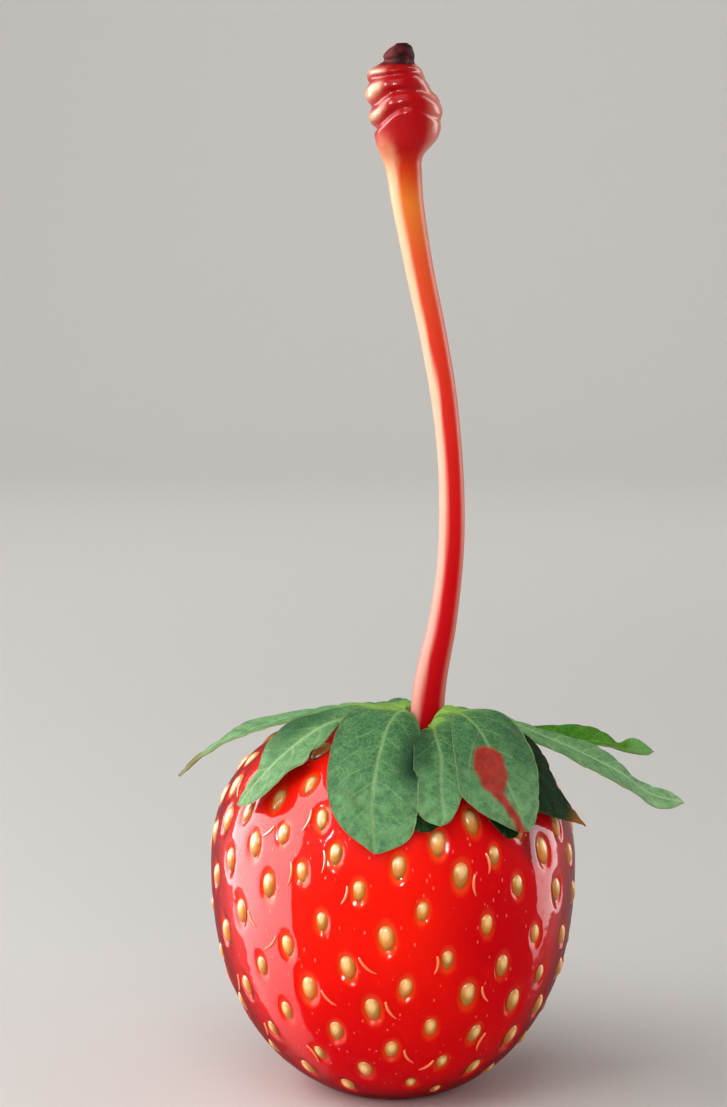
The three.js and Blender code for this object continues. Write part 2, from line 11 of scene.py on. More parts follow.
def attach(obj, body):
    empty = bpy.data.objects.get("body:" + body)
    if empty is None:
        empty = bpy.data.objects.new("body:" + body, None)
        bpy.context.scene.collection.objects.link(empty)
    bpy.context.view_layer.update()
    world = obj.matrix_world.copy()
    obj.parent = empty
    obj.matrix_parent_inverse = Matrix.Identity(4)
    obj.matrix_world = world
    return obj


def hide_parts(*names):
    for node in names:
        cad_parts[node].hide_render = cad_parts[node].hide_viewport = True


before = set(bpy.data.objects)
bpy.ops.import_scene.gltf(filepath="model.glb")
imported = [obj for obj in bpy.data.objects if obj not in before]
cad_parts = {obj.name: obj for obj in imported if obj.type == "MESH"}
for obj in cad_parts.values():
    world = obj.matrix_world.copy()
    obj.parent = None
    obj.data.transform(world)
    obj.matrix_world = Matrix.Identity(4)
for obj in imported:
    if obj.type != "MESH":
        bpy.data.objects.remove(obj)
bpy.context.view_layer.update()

mm = 0.001
goldenAngle = math.pi * (3 - math.sqrt(5))


# mesh helpers

def smoothStep(low, high, value):
    t = np.clip((value - low) / (high - low), 0, 1)
    return t * t * (3 - 2 * t)


def hump(start, full, fall, end, value):
    # rises from start to full, and falls again from fall to end
    return smoothStep(start, full, value) * (1 - smoothStep(fall, end, value))


def curveThrough(knots, values, at):
    # a cubic through the knots, for one or more columns of values
    knots = np.asarray(knots, float)
    values = np.asarray(values, float)
    slopes = np.gradient(values, knots, axis=0)
    at = np.clip(at, knots[0], knots[-1])
    i = np.clip(np.searchsorted(knots, at, side="right") - 1, 0, len(knots) - 2)
    step = knots[i + 1] - knots[i]
    t = (at - knots[i]) / step
    if values.ndim > 1:
        step, t = step[..., None], t[..., None]
    start = (1 + 2 * t) * (1 - t) ** 2 * values[i] + t * (1 - t) ** 2 * step * slopes[i]
    end = t ** 2 * (3 - 2 * t) * values[i + 1] + t ** 2 * (t - 1) * step * slopes[i + 1]
    return start + end


def tableAt(table, at):
    # the same, for rows that begin with their knot
    table = np.array(table, float)
    return curveThrough(table[:, 0], table[:, 1:], at)


def unit(vectors):
    return vectors / np.linalg.norm(vectors, axis=-1, keepdims=True)


def fullTurn(count):
    return np.arange(count) * 2 * math.pi / count


def triples(*columns):
    # one triple for each vertex, from three arrays that are first stretched to one shape
    return np.stack(np.broadcast_arrays(*columns), -1).reshape(-1, 3)


def waves(points, wavelength, seed):
    # smooth noise from -1 to 1 at each point
    offset = Vector((seed * 7.3, seed * 3.1, seed * 5.7))
    return np.array([noise.noise(Vector(p) / wavelength + offset) for p in points])


def gridFaces(rows, columns, first=0, closed=False, flip=False):
    # quads of a grid of points, numbered row by row; closed joins the last column to the first
    faces = []
    wide = columns if closed else columns + 1
    for i in range(rows):
        for j in range(columns):
            k = (j + 1) % wide
            a, b = first + i * wide + j, first + i * wide + k
            quad = (a, b, b + wide, a + wide)
            faces.append(quad[::-1] if flip else quad)
    return faces


def fanFaces(first, sides, tip, flip=False):
    # triangles from a closed ring of points to one tip
    faces = [(first + j, tip, first + (j + 1) % sides) for j in range(sides)]
    return [face[::-1] for face in faces] if flip else faces


def wallFaces(border, drop):
    # quads from a closed border to its copy, which is numbered drop further on
    return [(a, b, b + drop, a + drop) for a, b in zip(border, border[1:] + border[:1])]


def buildPiece(name, points, faces, fields=None):
    # points in millimetres; fields are numbers or triples, one for each vertex
    mesh = bpy.data.meshes.new(name)
    mesh.from_pydata((np.asarray(points) * mm).tolist(), [], faces)
    mesh.polygons.foreach_set("use_smooth", [True] * len(mesh.polygons))
    for fieldName, values in (fields or {}).items():
        values = np.asarray(values, np.float32)
        kind, key = ("FLOAT_VECTOR", "vector") if values.ndim == 2 else ("FLOAT", "value")
        mesh.attributes.new(fieldName, kind, "POINT").data.foreach_set(key, values.ravel())
    mesh.update()
    piece = bpy.data.objects.new(name, mesh)
    bpy.context.scene.collection.objects.link(piece)
    return piece


def placeThing(name, data, location, back):
    # a camera or a lamp, which looks against the direction back
    thing = bpy.data.objects.new(name, data)
    thing.location = location * mm
    thing.rotation_euler = back.to_track_quat("Z", "Y").to_euler()
    bpy.context.scene.collection.objects.link(thing)
    return thing


def dressPiece(piece, material, node):
    piece.data.materials.append(material)
    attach(piece, "root")
    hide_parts(node)
    print("made", piece.name, len(piece.data.polygons), "faces")


# shader helpers

def colour(hexText):
    # an sRGB colour, as the linear numbers that a shader takes
    parts = [int(hexText[i:i + 2], 16) / 255 for i in (0, 2, 4)]
    return (*[p / 12.92 if p <= 0.04045 else ((p + 0.055) / 1.055) ** 2.4 for p in parts], 1.0)


class NodeMaker:
    # makes nodes in one tree; inputs may be values, sockets or hex colours, and most calls give a socket back
    def __init__(self, tree, material=None):
        self.tree = tree
        self.material = material

    def fill(self, node, inputs):
        for key, value in inputs.items():
            if isinstance(value, bpy.types.NodeSocket):
                self.tree.links.new(value, node.inputs[key])
            else:
                node.inputs[key].default_value = colour(value) if isinstance(value, str) else value

    def add(self, kind, inputs, **settings):
        node = self.tree.nodes.new("ShaderNode" + kind)
        for key, value in settings.items():
            setattr(node, key, value)
        self.fill(node, inputs)
        return node

    def field(self, name, output="Fac"):
        return self.add("Attribute", {}, attribute_name=name).outputs[output]

    def place(self):
        return self.add("TexCoord", {}).outputs["Object"]

    def parts(self, vector):
        return self.add("SeparateXYZ", {0: vector}).outputs

    def math(self, operation, *values, clamp=False):
        settings = {"operation": operation, "use_clamp": clamp}
        return self.add("Math", dict(enumerate(values)), **settings).outputs[0]

    def times(self, first, second):
        return self.math("MULTIPLY", first, second)

    def scaled(self, value, factor, more):
        # value * factor + more
        return self.math("MULTIPLY_ADD", value, factor, more)

    def vector(self, operation, *values, output="Vector"):
        return self.add("VectorMath", dict(enumerate(values)), operation=operation).outputs[output]

    def stretch(self, vector, scale, turn=(0.0, 0.0, 0.0)):
        inputs = {"Vector": vector, "Rotation": turn, "Scale": scale}
        return self.add("Mapping", inputs).outputs[0]

    def range(self, value, low, high, toLow=0.0, toHigh=1.0, kind="SMOOTHSTEP"):
        inputs = {0: value, 1: low, 2: high, 3: toLow, 4: toHigh}
        return self.add("MapRange", inputs, interpolation_type=kind).outputs[0]

    def mix(self, factor, first, second):
        return self.add("Mix", {0: factor, 6: first, 7: second}, data_type="RGBA").outputs[2]

    def layers(self, base, *layers):
        # lays each (mask, colour) over the ones before
        for mask, tint in layers:
            base = self.mix(mask, base, tint)
        return base

    def noise(self, vector, scale, detail=2.0, roughness=0.5, output="Fac"):
        inputs = {"Vector": vector, "Scale": scale, "Detail": detail, "Roughness": roughness}
        return self.add("TexNoise", inputs).outputs[output]

    def bump(self, height, strength, distance, **more):
        inputs = {"Height": height, "Strength": strength, "Distance": distance, **more}
        return self.add("Bump", inputs).outputs["Normal"]

    def ramp(self, share, stops):
        node = self.add("ValToRGB", {0: share})
        while len(node.color_ramp.elements) < len(stops):
            node.color_ramp.elements.new(0.5)
        for element, (position, tint) in zip(node.color_ramp.elements, stops):
            element.position = position
            element.color = colour(tint)
        return node.outputs[0]

    def shade(self, inputs):
        # fills the material's own shader and gives the material back
        self.fill(self.tree.nodes["Principled BSDF"], inputs)
        return self.material


def newMaterial(name):
    material = bpy.data.materials.new(name)
    material.use_nodes = True
    return NodeMaker(material.node_tree, material)


# the fruit's surface, which every other piece lies on

skinValues = {
    "radius": 16.1,
    "widestHeight": 19.9,
    "lowerDepth": 20.8,
    "lowerPower": 2.2,
    "upperDepth": 14.0,
    "upperPower": 2.4,
    "flatBlend": 0.3,
    "calyxX": 3.0,  # the stalk grows a little to the right of the middle
    "dimpleDepth": 1.9,
    "dimpleRadius": 6.8,
    "lobes": [(2, 0.011, 1.9), (3, 0.008, 0.4)],  # times round, share of the radius, turn
}


def lobeAt(angle):
    return 1 + sum(share * np.sin(times * angle + turn) for times, share, turn in skinValues["lobes"])


def dimpleAt(points):
    away = (points[..., 0] - skinValues["calyxX"]) ** 2 + points[..., 1] ** 2
    return skinValues["dimpleDepth"] * np.exp(-away / skinValues["dimpleRadius"] ** 2)


def skinPoints(directions):
    # the points of the smooth skin that unit directions stand for
    v = skinValues
    x, y, z = directions[..., 0], directions[..., 1], directions[..., 2]
    upper = z > 0
    power = np.where(upper, v["upperPower"], v["lowerPower"])
    depth = np.where(upper, v["upperDepth"], -v["lowerDepth"])
    angle = np.arctan2(y, x)
    radius = v["radius"] * lobeAt(angle) * np.hypot(x, y) ** (2 / power)
    points = np.stack([radius * np.cos(angle), radius * np.sin(angle), 0 * z], -1)
    height = v["widestHeight"] + depth * np.abs(z) ** (2 / power) - np.where(upper, dimpleAt(points), 0)
    blend = v["flatBlend"]
    eased = np.where(height < -blend, 0, (height + blend) ** 2 / (4 * blend))
    points[..., 2] = np.where(height < blend, eased, height)
    return points


def skinLevel(points):
    # negative inside the fruit, positive outside
    v = skinValues
    height = points[..., 2] + dimpleAt(points) - v["widestHeight"]
    upper = height > 0
    power = np.where(upper, v["upperPower"], v["lowerPower"])
    depth = np.where(upper, v["upperDepth"], v["lowerDepth"])
    radius = np.hypot(points[..., 0], points[..., 1]) / lobeAt(np.arctan2(points[..., 1], points[..., 0]))
    return (radius / v["radius"]) ** power + (np.abs(height) / depth) ** power - 1


def skinSlope(points):
    step = 1e-3
    return np.stack([(skinLevel(points + step * axis) - skinLevel(points - step * axis)) / (2 * step)
                     for axis in np.eye(3)], -1)


def keepOff(points, distance):
    # moves points out until they are at least this far from the skin
    ease = 0.2
    for _ in range(4):
        slope = skinSlope(points)
        steep = np.linalg.norm(slope, axis=-1)
        short = distance - skinLevel(points) / steep
        push = np.where(short > ease, short, np.where(short > -ease, (short + ease) ** 2 / (4 * ease), 0))
        points = points + slope * (push / steep)[..., None]
    return points


# camera, floor and light

viewValues = {
    "lens": 100.0,
    "sensorWidth": 36,
    "elevation": 8.0,
    "distance": 271.5,
    "target": (-2.6, 0.0, 48.15),
}


def makeCamera():
    v = viewValues
    tilt = math.radians(v["elevation"])
    back = Vector((0, -math.cos(tilt), math.sin(tilt)))
    data = bpy.data.cameras.new("camera")
    data.lens = v["lens"]
    data.sensor_width = v["sensorWidth"]
    bpy.context.scene.camera = placeThing("camera", data, Vector(v["target"]) + back * v["distance"], back)


floorValues = {
    "front": -900,
    "back": 480,  # where the floor starts to curve up
    "curve": 260,
    "curveSteps": 16,
    "top": 900,
    "halfWidth": 1300,
    "colour": "c0bdb9",
}


def makeFloor():
    v = floorValues
    profile = [(v["front"], 0.0), (v["back"], 0.0)]
    for k in range(v["curveSteps"]):
        turn = math.pi / 2 * (k + 1) / v["curveSteps"]
        profile.append((v["back"] + v["curve"] * math.sin(turn), v["curve"] * (1 - math.cos(turn))))
    profile.append((v["back"] + v["curve"], v["top"]))
    points = [(x, y, z) for y, z in profile for x in (-v["halfWidth"], v["halfWidth"])]
    floor = buildPiece("floor", points, gridFaces(len(profile) - 1, 1))
    material = newMaterial("paleFloor").shade({"Base Color": v["colour"], "Roughness": 0.75})
    floor.data.materials.append(material)


lightValues = {
    # azimuth from the front towards the right, elevation, distance, width, height, glow, aim, and what
    # it lights: "all", "body" (no reflections) or "shine" (reflections only)
    "softLeft": (-82, 24, 300, 500, 400, 2.6, (0, 0, 26), "body"),
    "softTop": (-10, 62, 420, 270, 270, 3.3, (0, 0, 26), "all"),
    "fillFront": (5, 18, 450, 300, 300, 1.5, (0, 0, 26), "body"),
    "fillRight": (72, 14, 380, 260, 300, 1.6, (0, 0, 26), "body"),
    "shineLeft": (-94, 0, 300, 330, 460, 18.0, (0, 0, 232), "shine"),
    "shineRight": (112, 0, 300, 140, 460, 9.0, (0, 0, 232), "shine"),
    "sparkFront": (-7, 27, 420, 60, 60, 170.0, (0, 0, 26), "shine"),
    "sparkLeft": (-42, 24, 420, 26, 90, 170.0, (0, 0, 26), "shine"),
    "washBack": (0, 48, 420, 900, 200, 3.1, (0, 620, 40), "all"),
}

studioValues = {
    "colour": "e9e9ec",
    "strength": 0.14,
}


def makeLights():
    for name, (azimuth, elevation, distance, width, height, glow, aim, lit) in lightValues.items():
        turn, tilt = math.radians(azimuth), math.radians(elevation)
        away = Vector((math.sin(turn) * math.cos(tilt), -math.cos(turn) * math.cos(tilt), math.sin(tilt)))
        lamp = bpy.data.lights.new(name, "AREA")
        lamp.shape = "RECTANGLE"
        lamp.size, lamp.size_y = width * mm, height * mm
        lamp.energy = glow * math.pi * lamp.size * lamp.size_y
        holder = placeThing(name, lamp, Vector(aim) + away * distance, away)
        holder.visible_glossy = lit != "body"
        holder.visible_diffuse = lit != "shine"
    world = bpy.data.worlds.new("studio")
    world.use_nodes = True
    background = world.node_tree.nodes["Background"]
    background.inputs["Color"].default_value = colour(studioValues["colour"])
    background.inputs["Strength"].default_value = studioValues["strength"]
    bpy.context.scene.world = world
    bpy.context.scene.view_settings.view_transform = "Standard"


makeCamera()
makeFloor()
makeLights()
print("stage ready")


# seeds: where they sit, and the seeds themselves

seedValues = {
    "spiralCount": 222,
    "firstAngle": 51,
    "jitter": 0.018,  # radians
    "bareRadius": 4.2,  # none this near the stalk
    "bareHeight": 1.6,  # nor below this height
    "tipShrink": 0.3,  # seeds near the tip are smaller by this share
    "sizeSpread": 0.36,  # from the smallest to the largest, as a share
    "halfWidth": 0.63,
    "halfLength": 1.06,
    "halfHeight": 0.42,
    "crown": 0.16,  # height over the skin
    "lean": 9,
    "rings": 12,
    "sides": 20,
    "olive": "a87414",  # from the dullest seed
    "gold": "ee9638",  # to the brightest
    # upper and crest are painted highlights: a lighter upper end and a pale spot near the top of each seed
    "upper": "fcc070",
    "lower": "6a5608",
    "crest": "ffdc98",
    "rim": "b8641a",
}


def seedPlaces():
    v = seedValues
    state = 7
    places = []
    for i in range(v["spiralCount"]):
        height = 1 - (2 * i + 1) / v["spiralCount"]
        turn = math.radians(v["firstAngle"]) + i * goldenAngle
        across = math.sqrt(1 - height * height)
        nudge = []
        for _ in range(3):
            state = state * 16807 % 2147483647
            nudge.append(state / 2147483647 - 0.5)
        direction = np.array([across * math.cos(turn), across * math.sin(turn), height])
        direction = unit(direction + 2 * v["jitter"] * np.array(nudge))
        centre = skinPoints(direction)
        fromStalk = math.hypot(centre[0] - skinValues["calyxX"], centre[1])
        if height > 0 and fromStalk < v["bareRadius"] or centre[2] < v["bareHeight"]:
            continue
        up = unit(skinSlope(centre))
        east = unit(np.array([-direction[1], direction[0], 0]))
        lean = math.radians(v["lean"]) * 2 * nudge[0]
        north = np.cross(up, east)
        east, north = (east * math.cos(lean) + north * math.sin(lean),
                       north * math.cos(lean) - east * math.sin(lean))
        # tone is random, and brighter towards the top and the left, where the light falls: that part is
        # painted light
        tone = 0.5 + 0.5 * nudge[1] + 0.02 * (centre[2] - 18) - 0.012 * centre[0]
        size = (1 - v["tipShrink"] * max(0, -height) ** 3) * (1 + v["sizeSpread"] * nudge[2])
        places.append({"centre": centre, "up": up, "east": east, "north": north, "tone": tone, "nudge": nudge,
                       "size": size})
    return places


def seedMaterial():
    v = seedValues
    n = newMaterial("seedCoat")
    along = n.field("along")
    body = n.layers(
        n.mix(n.range(n.field("tone"), 0.15, 0.85), v["olive"], v["gold"]),
        # painted highlight on the upper end and the crest
        (n.range(along, -0.1, 1.1), v["upper"]),
        (n.range(along, -0.4, -1), v["lower"]),
        (n.times(n.field("crest"), 0.6), v["crest"]),
        (n.times(n.field("rim"), 0.55), v["rim"]))
    return n.shade({
        "Base Color": body, "Roughness": 0.35, "Specular IOR Level": 0.1, "Coat Weight": 1,
        "Coat Roughness": 0.3, "Coat IOR": 1.35, "Subsurface Weight": 0.2,
        "Subsurface Radius": (1, 0.5, 0.2), "Subsurface Scale": 0.0005})


def makeSeeds(places):
    v = seedValues
    theta = np.linspace(0, math.pi, v["rings"] + 1)[1:-1]
    phi = fullTurn(v["sides"])
    # one seed, blunt at its upper end (north) and pointed at the lower one
    north = np.cos(theta)
    narrow = np.sin(theta) ** np.where(north < 0, 1.35, 0.9) * (1 + 0.14 * north)
    template = np.array([(narrow[i] * math.cos(p), north[i], narrow[i] * math.sin(p))
                         for i in range(len(theta)) for p in phi] + [(0, 1, 0), (0, -1, 0)])
    ringCount = len(theta)
    faces = gridFaces(ringCount - 1, v["sides"], closed=True)
    faces += fanFaces(0, v["sides"], len(template) - 2)
    faces += fanFaces((ringCount - 1) * v["sides"], v["sides"], len(template) - 1, flip=True)
    fieldsOfOne = {
        "rim": 1 - smoothStep(0.58, 0.86, template[:, 2]),
        "along": template[:, 1],
        # painted highlight near the top of the seed
        "crest": smoothStep(0.86, 0.99, template[:, 2] * 0.96 + template[:, 1] * 0.28),
    }
    points, allFaces = [], []
    for number, place in enumerate(places):
        size = place["size"]
        base = place["centre"] + place["up"] * (v["crown"] - v["halfHeight"]) * size
        points.append(base + size * (template[:, :1] * v["halfWidth"] * place["east"]
                                     + template[:, 1:2] * v["halfLength"] * place["north"]
                                     + template[:, 2:] * v["halfHeight"] * place["up"]))
        allFaces += [tuple(n + number * len(template) for n in face) for face in faces]
    fields = {name: np.tile(values, len(places)) for name, values in fieldsOfOne.items()}
    fields["tone"] = np.repeat([place["tone"] for place in places], len(template))
    piece = buildPiece("seeds", np.concatenate(points), allFaces, fields)
    dressPiece(piece, seedMaterial(), "berry")


# flesh

fleshValues = {
    "subdivisions": 7,
    "fineHalfWidth": 1.15,  # the mesh is finer this near a seed
    "fineHalfLength": 1.65,
    "pitDepth": 0.07,
    "pitHalfWidth": 1.35,
    "pitHalfLength": 1.95,
    "lipDepth": 0.13,  # the narrow gutter close round a seed
    "lipWidth": 0.30,
    "haloIn": 1.0,  # the orange halo round a seed, in half sizes of the seed
    "haloOut": 1.62,
    "waveHeight": 0.07,
    "waveLength": 7.0,
    "filmLean": 0.2,  # least upward part of the film's normal
    "flow": 0.22,  # how far the film's ripples turn its normal
    "bruise": (12.2, -9.6, 24.4),  # centre of a darker spot
    "bruiseRadius": 2.6,
    "drawnOut": (1.0, 1.0, 0.45),  # makes the film's flecks and ripples longer up and down
    "fleckScale": 1900.0,
    "flecks": [((0.3, 0.6, 0.2), 0.4), ((1.3, 0.2, 0.9), 0.45)],  # turn in radians, share left out
    "deep": "cc000c",
    "bright": "fa1706",
    "fibreColour": "ff2c12",
    "bruiseColour": "78000e",
    "haloColour": "ff5a14",
    "fleckGlintColour": "ff7a66",
    "rimShadeColour": "5c0008",
}


def seedFrame(points, place, halfWidth, halfLength):
    # distance from a seed's centre along the skin, as a share of the half sizes
    offset = points - place["centre"]
    east = offset @ place["east"] / (halfWidth * place["size"])
    north = offset @ place["north"] / (halfLength * place["size"])
    near = (offset ** 2).sum(-1) < (3 * halfLength) ** 2
    return np.where(near, np.hypot(east, north), 9.0)


def fleckMask(n, place, patches, turn, limit):
    stretched = n.stretch(place, fleshValues["drawnOut"], turn)
    cells = n.add("TexVoronoi", {"Vector": stretched, "Scale": fleshValues["fleckScale"]})
    chance = n.add("SeparateColor", {0: cells.outputs["Color"]}).outputs[0]
    shown = n.math("GREATER_THAN", n.scaled(patches, -0.6, chance), limit)
    return n.times(n.range(cells.outputs["Distance"], 0.1, 0.2, 1, 0), shown)


def filmNormal(n, place, fleck):
    # the film hangs straight down below the widest part, so its own normal stands up there
    stand = n.add("CombineXYZ", {2: n.field("stand")}).outputs[0]
    normal = n.vector("ADD", n.add("NewGeometry", {}).outputs["Normal"], stand)
    flow = n.noise(n.stretch(place, fleshValues["drawnOut"]), 230, 1, output="Color")
    turn = fleshValues["flow"]
    normal = n.vector("MULTIPLY_ADD", flow, (turn, turn, 0), normal)
    normal = n.vector("NORMALIZE", n.vector("SUBTRACT", normal, (turn / 2, turn / 2, 0)))
    ripples = n.scaled(n.noise(place, 330), 1.4, fleck)
    return n.bump(ripples, 0.5, 0.00006, Normal=normal)


def fleshMaterial():
    v = fleshValues
    n = newMaterial("redFlesh")
    place = n.place()
    parts = n.parts(place)
    # orange-red in random ripe patches, and towards the middle and the top as painted light; crimson to the
    # sides and below as painted shade
    patches = n.noise(place, 90)
    sideways = n.math("ABSOLUTE", n.math("ADD", parts["X"], 0.004))
    ripeAndLit = n.times(n.range(sideways, 0.003, 0.0145, 1, 0), n.range(parts["Z"], 0.003, 0.020, 0.05, 1))
    ripeAndLit = n.math("ADD", ripeAndLit, n.scaled(patches, 0.9, -0.45), clamp=True)
    spot = n.vector("DISTANCE", place, [c * mm for c in v["bruise"]], output="Value")
    radius = v["bruiseRadius"] * mm
    halo = n.field("halo")
    # tiny pale flecks in the film, lying two ways: small bumps, whose pale colour is a painted glint
    flecks = [fleckMask(n, place, patches, turn, limit) for turn, limit in v["flecks"]]
    fleck = n.times(n.math("MAXIMUM", *flecks), n.math("SUBTRACT", 1, halo))
    facing = n.add("LayerWeight", {}).outputs["Facing"]
    red = n.layers(
        n.mix(ripeAndLit, v["deep"], v["bright"]),
        (n.range(n.noise(place, 800, 3, 0.6), 0.55, 0.8, 0, 0.2), v["fibreColour"]),
        (n.range(spot, radius * 0.5, radius, 0.75, 0), v["bruiseColour"]),
        # the halo is fainter where the painted shade falls
        (n.times(halo, n.scaled(ripeAndLit, 0.35, 0.35)), v["haloColour"]),
        # painted glints on the flecks
        (n.times(fleck, 0.5), v["fleckGlintColour"]),
        # painted shade: darker where the skin turns away from view
        (n.range(facing, 0.5, 0.85, 0, 0.85), v["rimShadeColour"]))
    # the film shines less where it turns away, most of all on the left, and low down, where it is thin
    turned = n.times(n.range(facing, 0.52, 0.82, 0, 0.9), n.range(parts["X"], 0, 0.012, 1, 0.6))
    coat = n.times(n.math("SUBTRACT", 1, turned), n.range(parts["Z"], 0.004, 0.021, 0.2, 1))
    return n.shade({
        "Base Color": red, "Normal": n.bump(n.noise(place, 1400), 0.3, 0.00005),
        "Coat Normal": filmNormal(n, place, fleck), "Coat Weight": coat, "Roughness": 0.4,
        "Specular IOR Level": 0.02, "Coat Roughness": 0.035, "Coat IOR": 1.2, "Subsurface Weight": 0.25,
        "Subsurface Radius": (1, 0.10, 0.05), "Subsurface Scale": 0.0014})


def makeFlesh(places):
    v = fleshValues
    ball = bmesh.new()
    bmesh.ops.create_icosphere(ball, subdivisions=v["subdivisions"], radius=1.0)
    ball.verts.index_update()
    coarse = skinPoints(unit(np.array([p.co[:] for p in ball.verts])))
    near = np.zeros(len(coarse), bool)
    for place in places:
        near |= seedFrame(coarse, place, v["fineHalfWidth"], v["fineHalfLength"]) < 1
    edges = [e for e in ball.edges if near[e.verts[0].index] and near[e.verts[1].index]]
    bmesh.ops.subdivide_edges(ball, edges=edges, cuts=1)
    bmesh.ops.triangulate(ball, faces=ball.faces)
    ball.verts.index_update()
    directions = unit(np.array([p.co[:] for p in ball.verts]))
    faces = [tuple(p.index for p in face.verts) for face in ball.faces]
    ball.free()

    points = skinPoints(directions)
    normals = unit(skinSlope(points))
    lift = v["waveHeight"] * waves(points, v["waveLength"], 2) * smoothStep(1.5, 6, points[:, 2])
    halo = np.zeros(len(points))
    lip = np.zeros(len(points))
    for place in places:
        pit = seedFrame(points, place, v["pitHalfWidth"], v["pitHalfLength"])
        lift -= v["pitDepth"] * place["size"] * np.clip(1 - pit ** 2, 0, 1) ** 2
        ring = seedFrame(points, place, seedValues["halfWidth"], seedValues["halfLength"])
        away = np.clip(ring - 0.95, 0, None) * seedValues["halfWidth"] * 1.3
        lip = np.maximum(lip, place["size"] * np.exp(-(away / v["lipWidth"]) ** 2))
        halo = np.maximum(halo, 1 - smoothStep(v["haloIn"], v["haloOut"], ring))
    lift -= v["lipDepth"] * lip
    stand = np.clip(v["filmLean"] - normals[:, 2], 0, None)
    piece = buildPiece("flesh", points + normals * lift[:, None], faces, {"halo": halo, "stand": stand})
    dressPiece(piece, fleshMaterial(), "berry")


# the dried styles of some of the seeds, lying on the skin

styleValues = {
    "share": 0.3,  # of the seeds
    "lowest": 5,
    "highest": 31,
    "aside": 1.15,  # from the seed's middle to the style's root, for a seed of size 1
    "length": 2.2,
    "radius": 0.13,
    "bend": 0.9,  # radians over the whole length
    "rings": 12,
    "sides": 6,
    "root": "ff8a48",
    "end": "fa5a24",
}


def styleMaterial():
    v = styleValues
    n = newMaterial("driedStyle")
    tint = n.mix(n.field("along"), v["root"], v["end"])
    return n.shade({"Base Color": tint, "Roughness": 0.35, "Coat Weight": 0.6})


def makeStyles(places):
    v = styleValues
    turns = fullTurn(v["sides"])
    share = np.linspace(0, 1, v["rings"] + 1)
    radius = v["radius"] * np.sin(math.pi * (0.12 + 0.84 * share)) ** 0.5
    points, faces = [], []
    for place in places:
        first, second, third = place["nudge"]
        inside = v["lowest"] <= place["centre"][2] <= v["highest"]
        if (first * 7.3 + second * 3.1) % 1 > v["share"] or not inside:
            continue
        # a curve that starts beside the seed and bends as it goes
        side = 1 if third > -0.1 else -1
        heading = 1.1 * second
        spot = place["centre"] + place["east"] * side * v["aside"] * place["size"]
        spot = spot + place["north"] * (0.5 + first)
        steps = v["length"] * (0.75 + 0.5 * abs(first)) / v["rings"]
        line = []
        for k in range(v["rings"] + 1):
            line.append(spot)
            turn = heading + v["bend"] * k / v["rings"]
            spot = spot + steps * (place["east"] * math.sin(turn) * side - place["north"] * math.cos(turn))
        line = np.array(line)
        slope = skinSlope(line)
        steep = np.linalg.norm(slope, axis=-1, keepdims=True)
        up = slope / steep
        line = line + up * (0.04 - skinLevel(line)[:, None] / steep)
        across = unit(np.cross(np.gradient(line, axis=0), up))
        start = len(points) * (v["rings"] + 1) * v["sides"]
        ring = radius[:, None, None] * (across[:, None] * np.cos(turns)[None, :, None]
                                        + up[:, None] * 0.8 * np.sin(turns)[None, :, None])
        points.append((line[:, None] + ring).reshape(-1, 3))
        faces += gridFaces(v["rings"], v["sides"], first=start, closed=True)
        faces.append(tuple(range(start, start + v["sides"]))[::-1])
        last = start + v["rings"] * v["sides"]
        faces.append(tuple(range(last, last + v["sides"])))
    along = np.tile(np.repeat(share, v["sides"]), len(points))
    piece = buildPiece("styles", np.concatenate(points), faces, {"along": along})
    dressPiece(piece, styleMaterial(), "berry")


seeds = seedPlaces()
makeFlesh(seeds)
makeSeeds(seeds)
makeStyles(seeds)


# calyx: a hub and its sepals

sepalCommon = {
    "rows": 84,
    "columns": 28,
    "thickness": 0.30,
    "edgeThickness": 0.12,
    "veinPitch": 2.3,  # between side veins, along the midrib
    "veinSlant": 0.75,
    "veinArch": 0.10,
    "veinDepth": 0.12,
    "veinDrift": 0.55,  # how far the veins wander
    "veinWidth": 0.32,
    "midribWidth": 0.3,
    "pucker": 0.15,  # height of the bumps between the veins
    "puckerLength": 1.3,
    # the red drip on one sepal: (across, along, half width) in millimetres from its head to its tail
    "drip": [(-0.7, 10.1, 1.5), (-1.2, 11.3, 1.7), (-1.6, 12.3, 1.35), (-1.7, 13.2, 0.72),
             (-1.15, 14.6, 0.5), (-0.65, 15.9, 0.52), (-0.25, 17.3, 0.7)],
}


# what a sepal has where its own entry says nothing else
sepalDefaults = {
    "sweep": 0,  # how far its tip is turned sideways
    "rootRoll": (0, 1),  # how far the root is tipped over, and the share of the length at which that has gone
    "roll": 0,  # how far the blade is tipped over
    "twist": 0,  # how much further its end is
    "curl": 0.05,  # bends the margins down
    "crease": 0.05,  # bends them up
    "droop": 0,  # bends the right half down, except near the tip
    "wave": 0.16,
    "layer": 0.5,  # least distance from the skin
    "look": "green",
    # shadeLeft and shadeRight darken one side, in a crease or beside a neighbour: painted shade
    "shadeLeft": 0,  # darkens one side
    "shadeRight": 0,
    "brown": 2,  # the shares of the length from which the tip is brown or pale; 2 is never
    # paleTip: from this share the tip is painted lighter, where it twists up into the light: painted light
    "paleTip": 2,
    "drip": False,
}

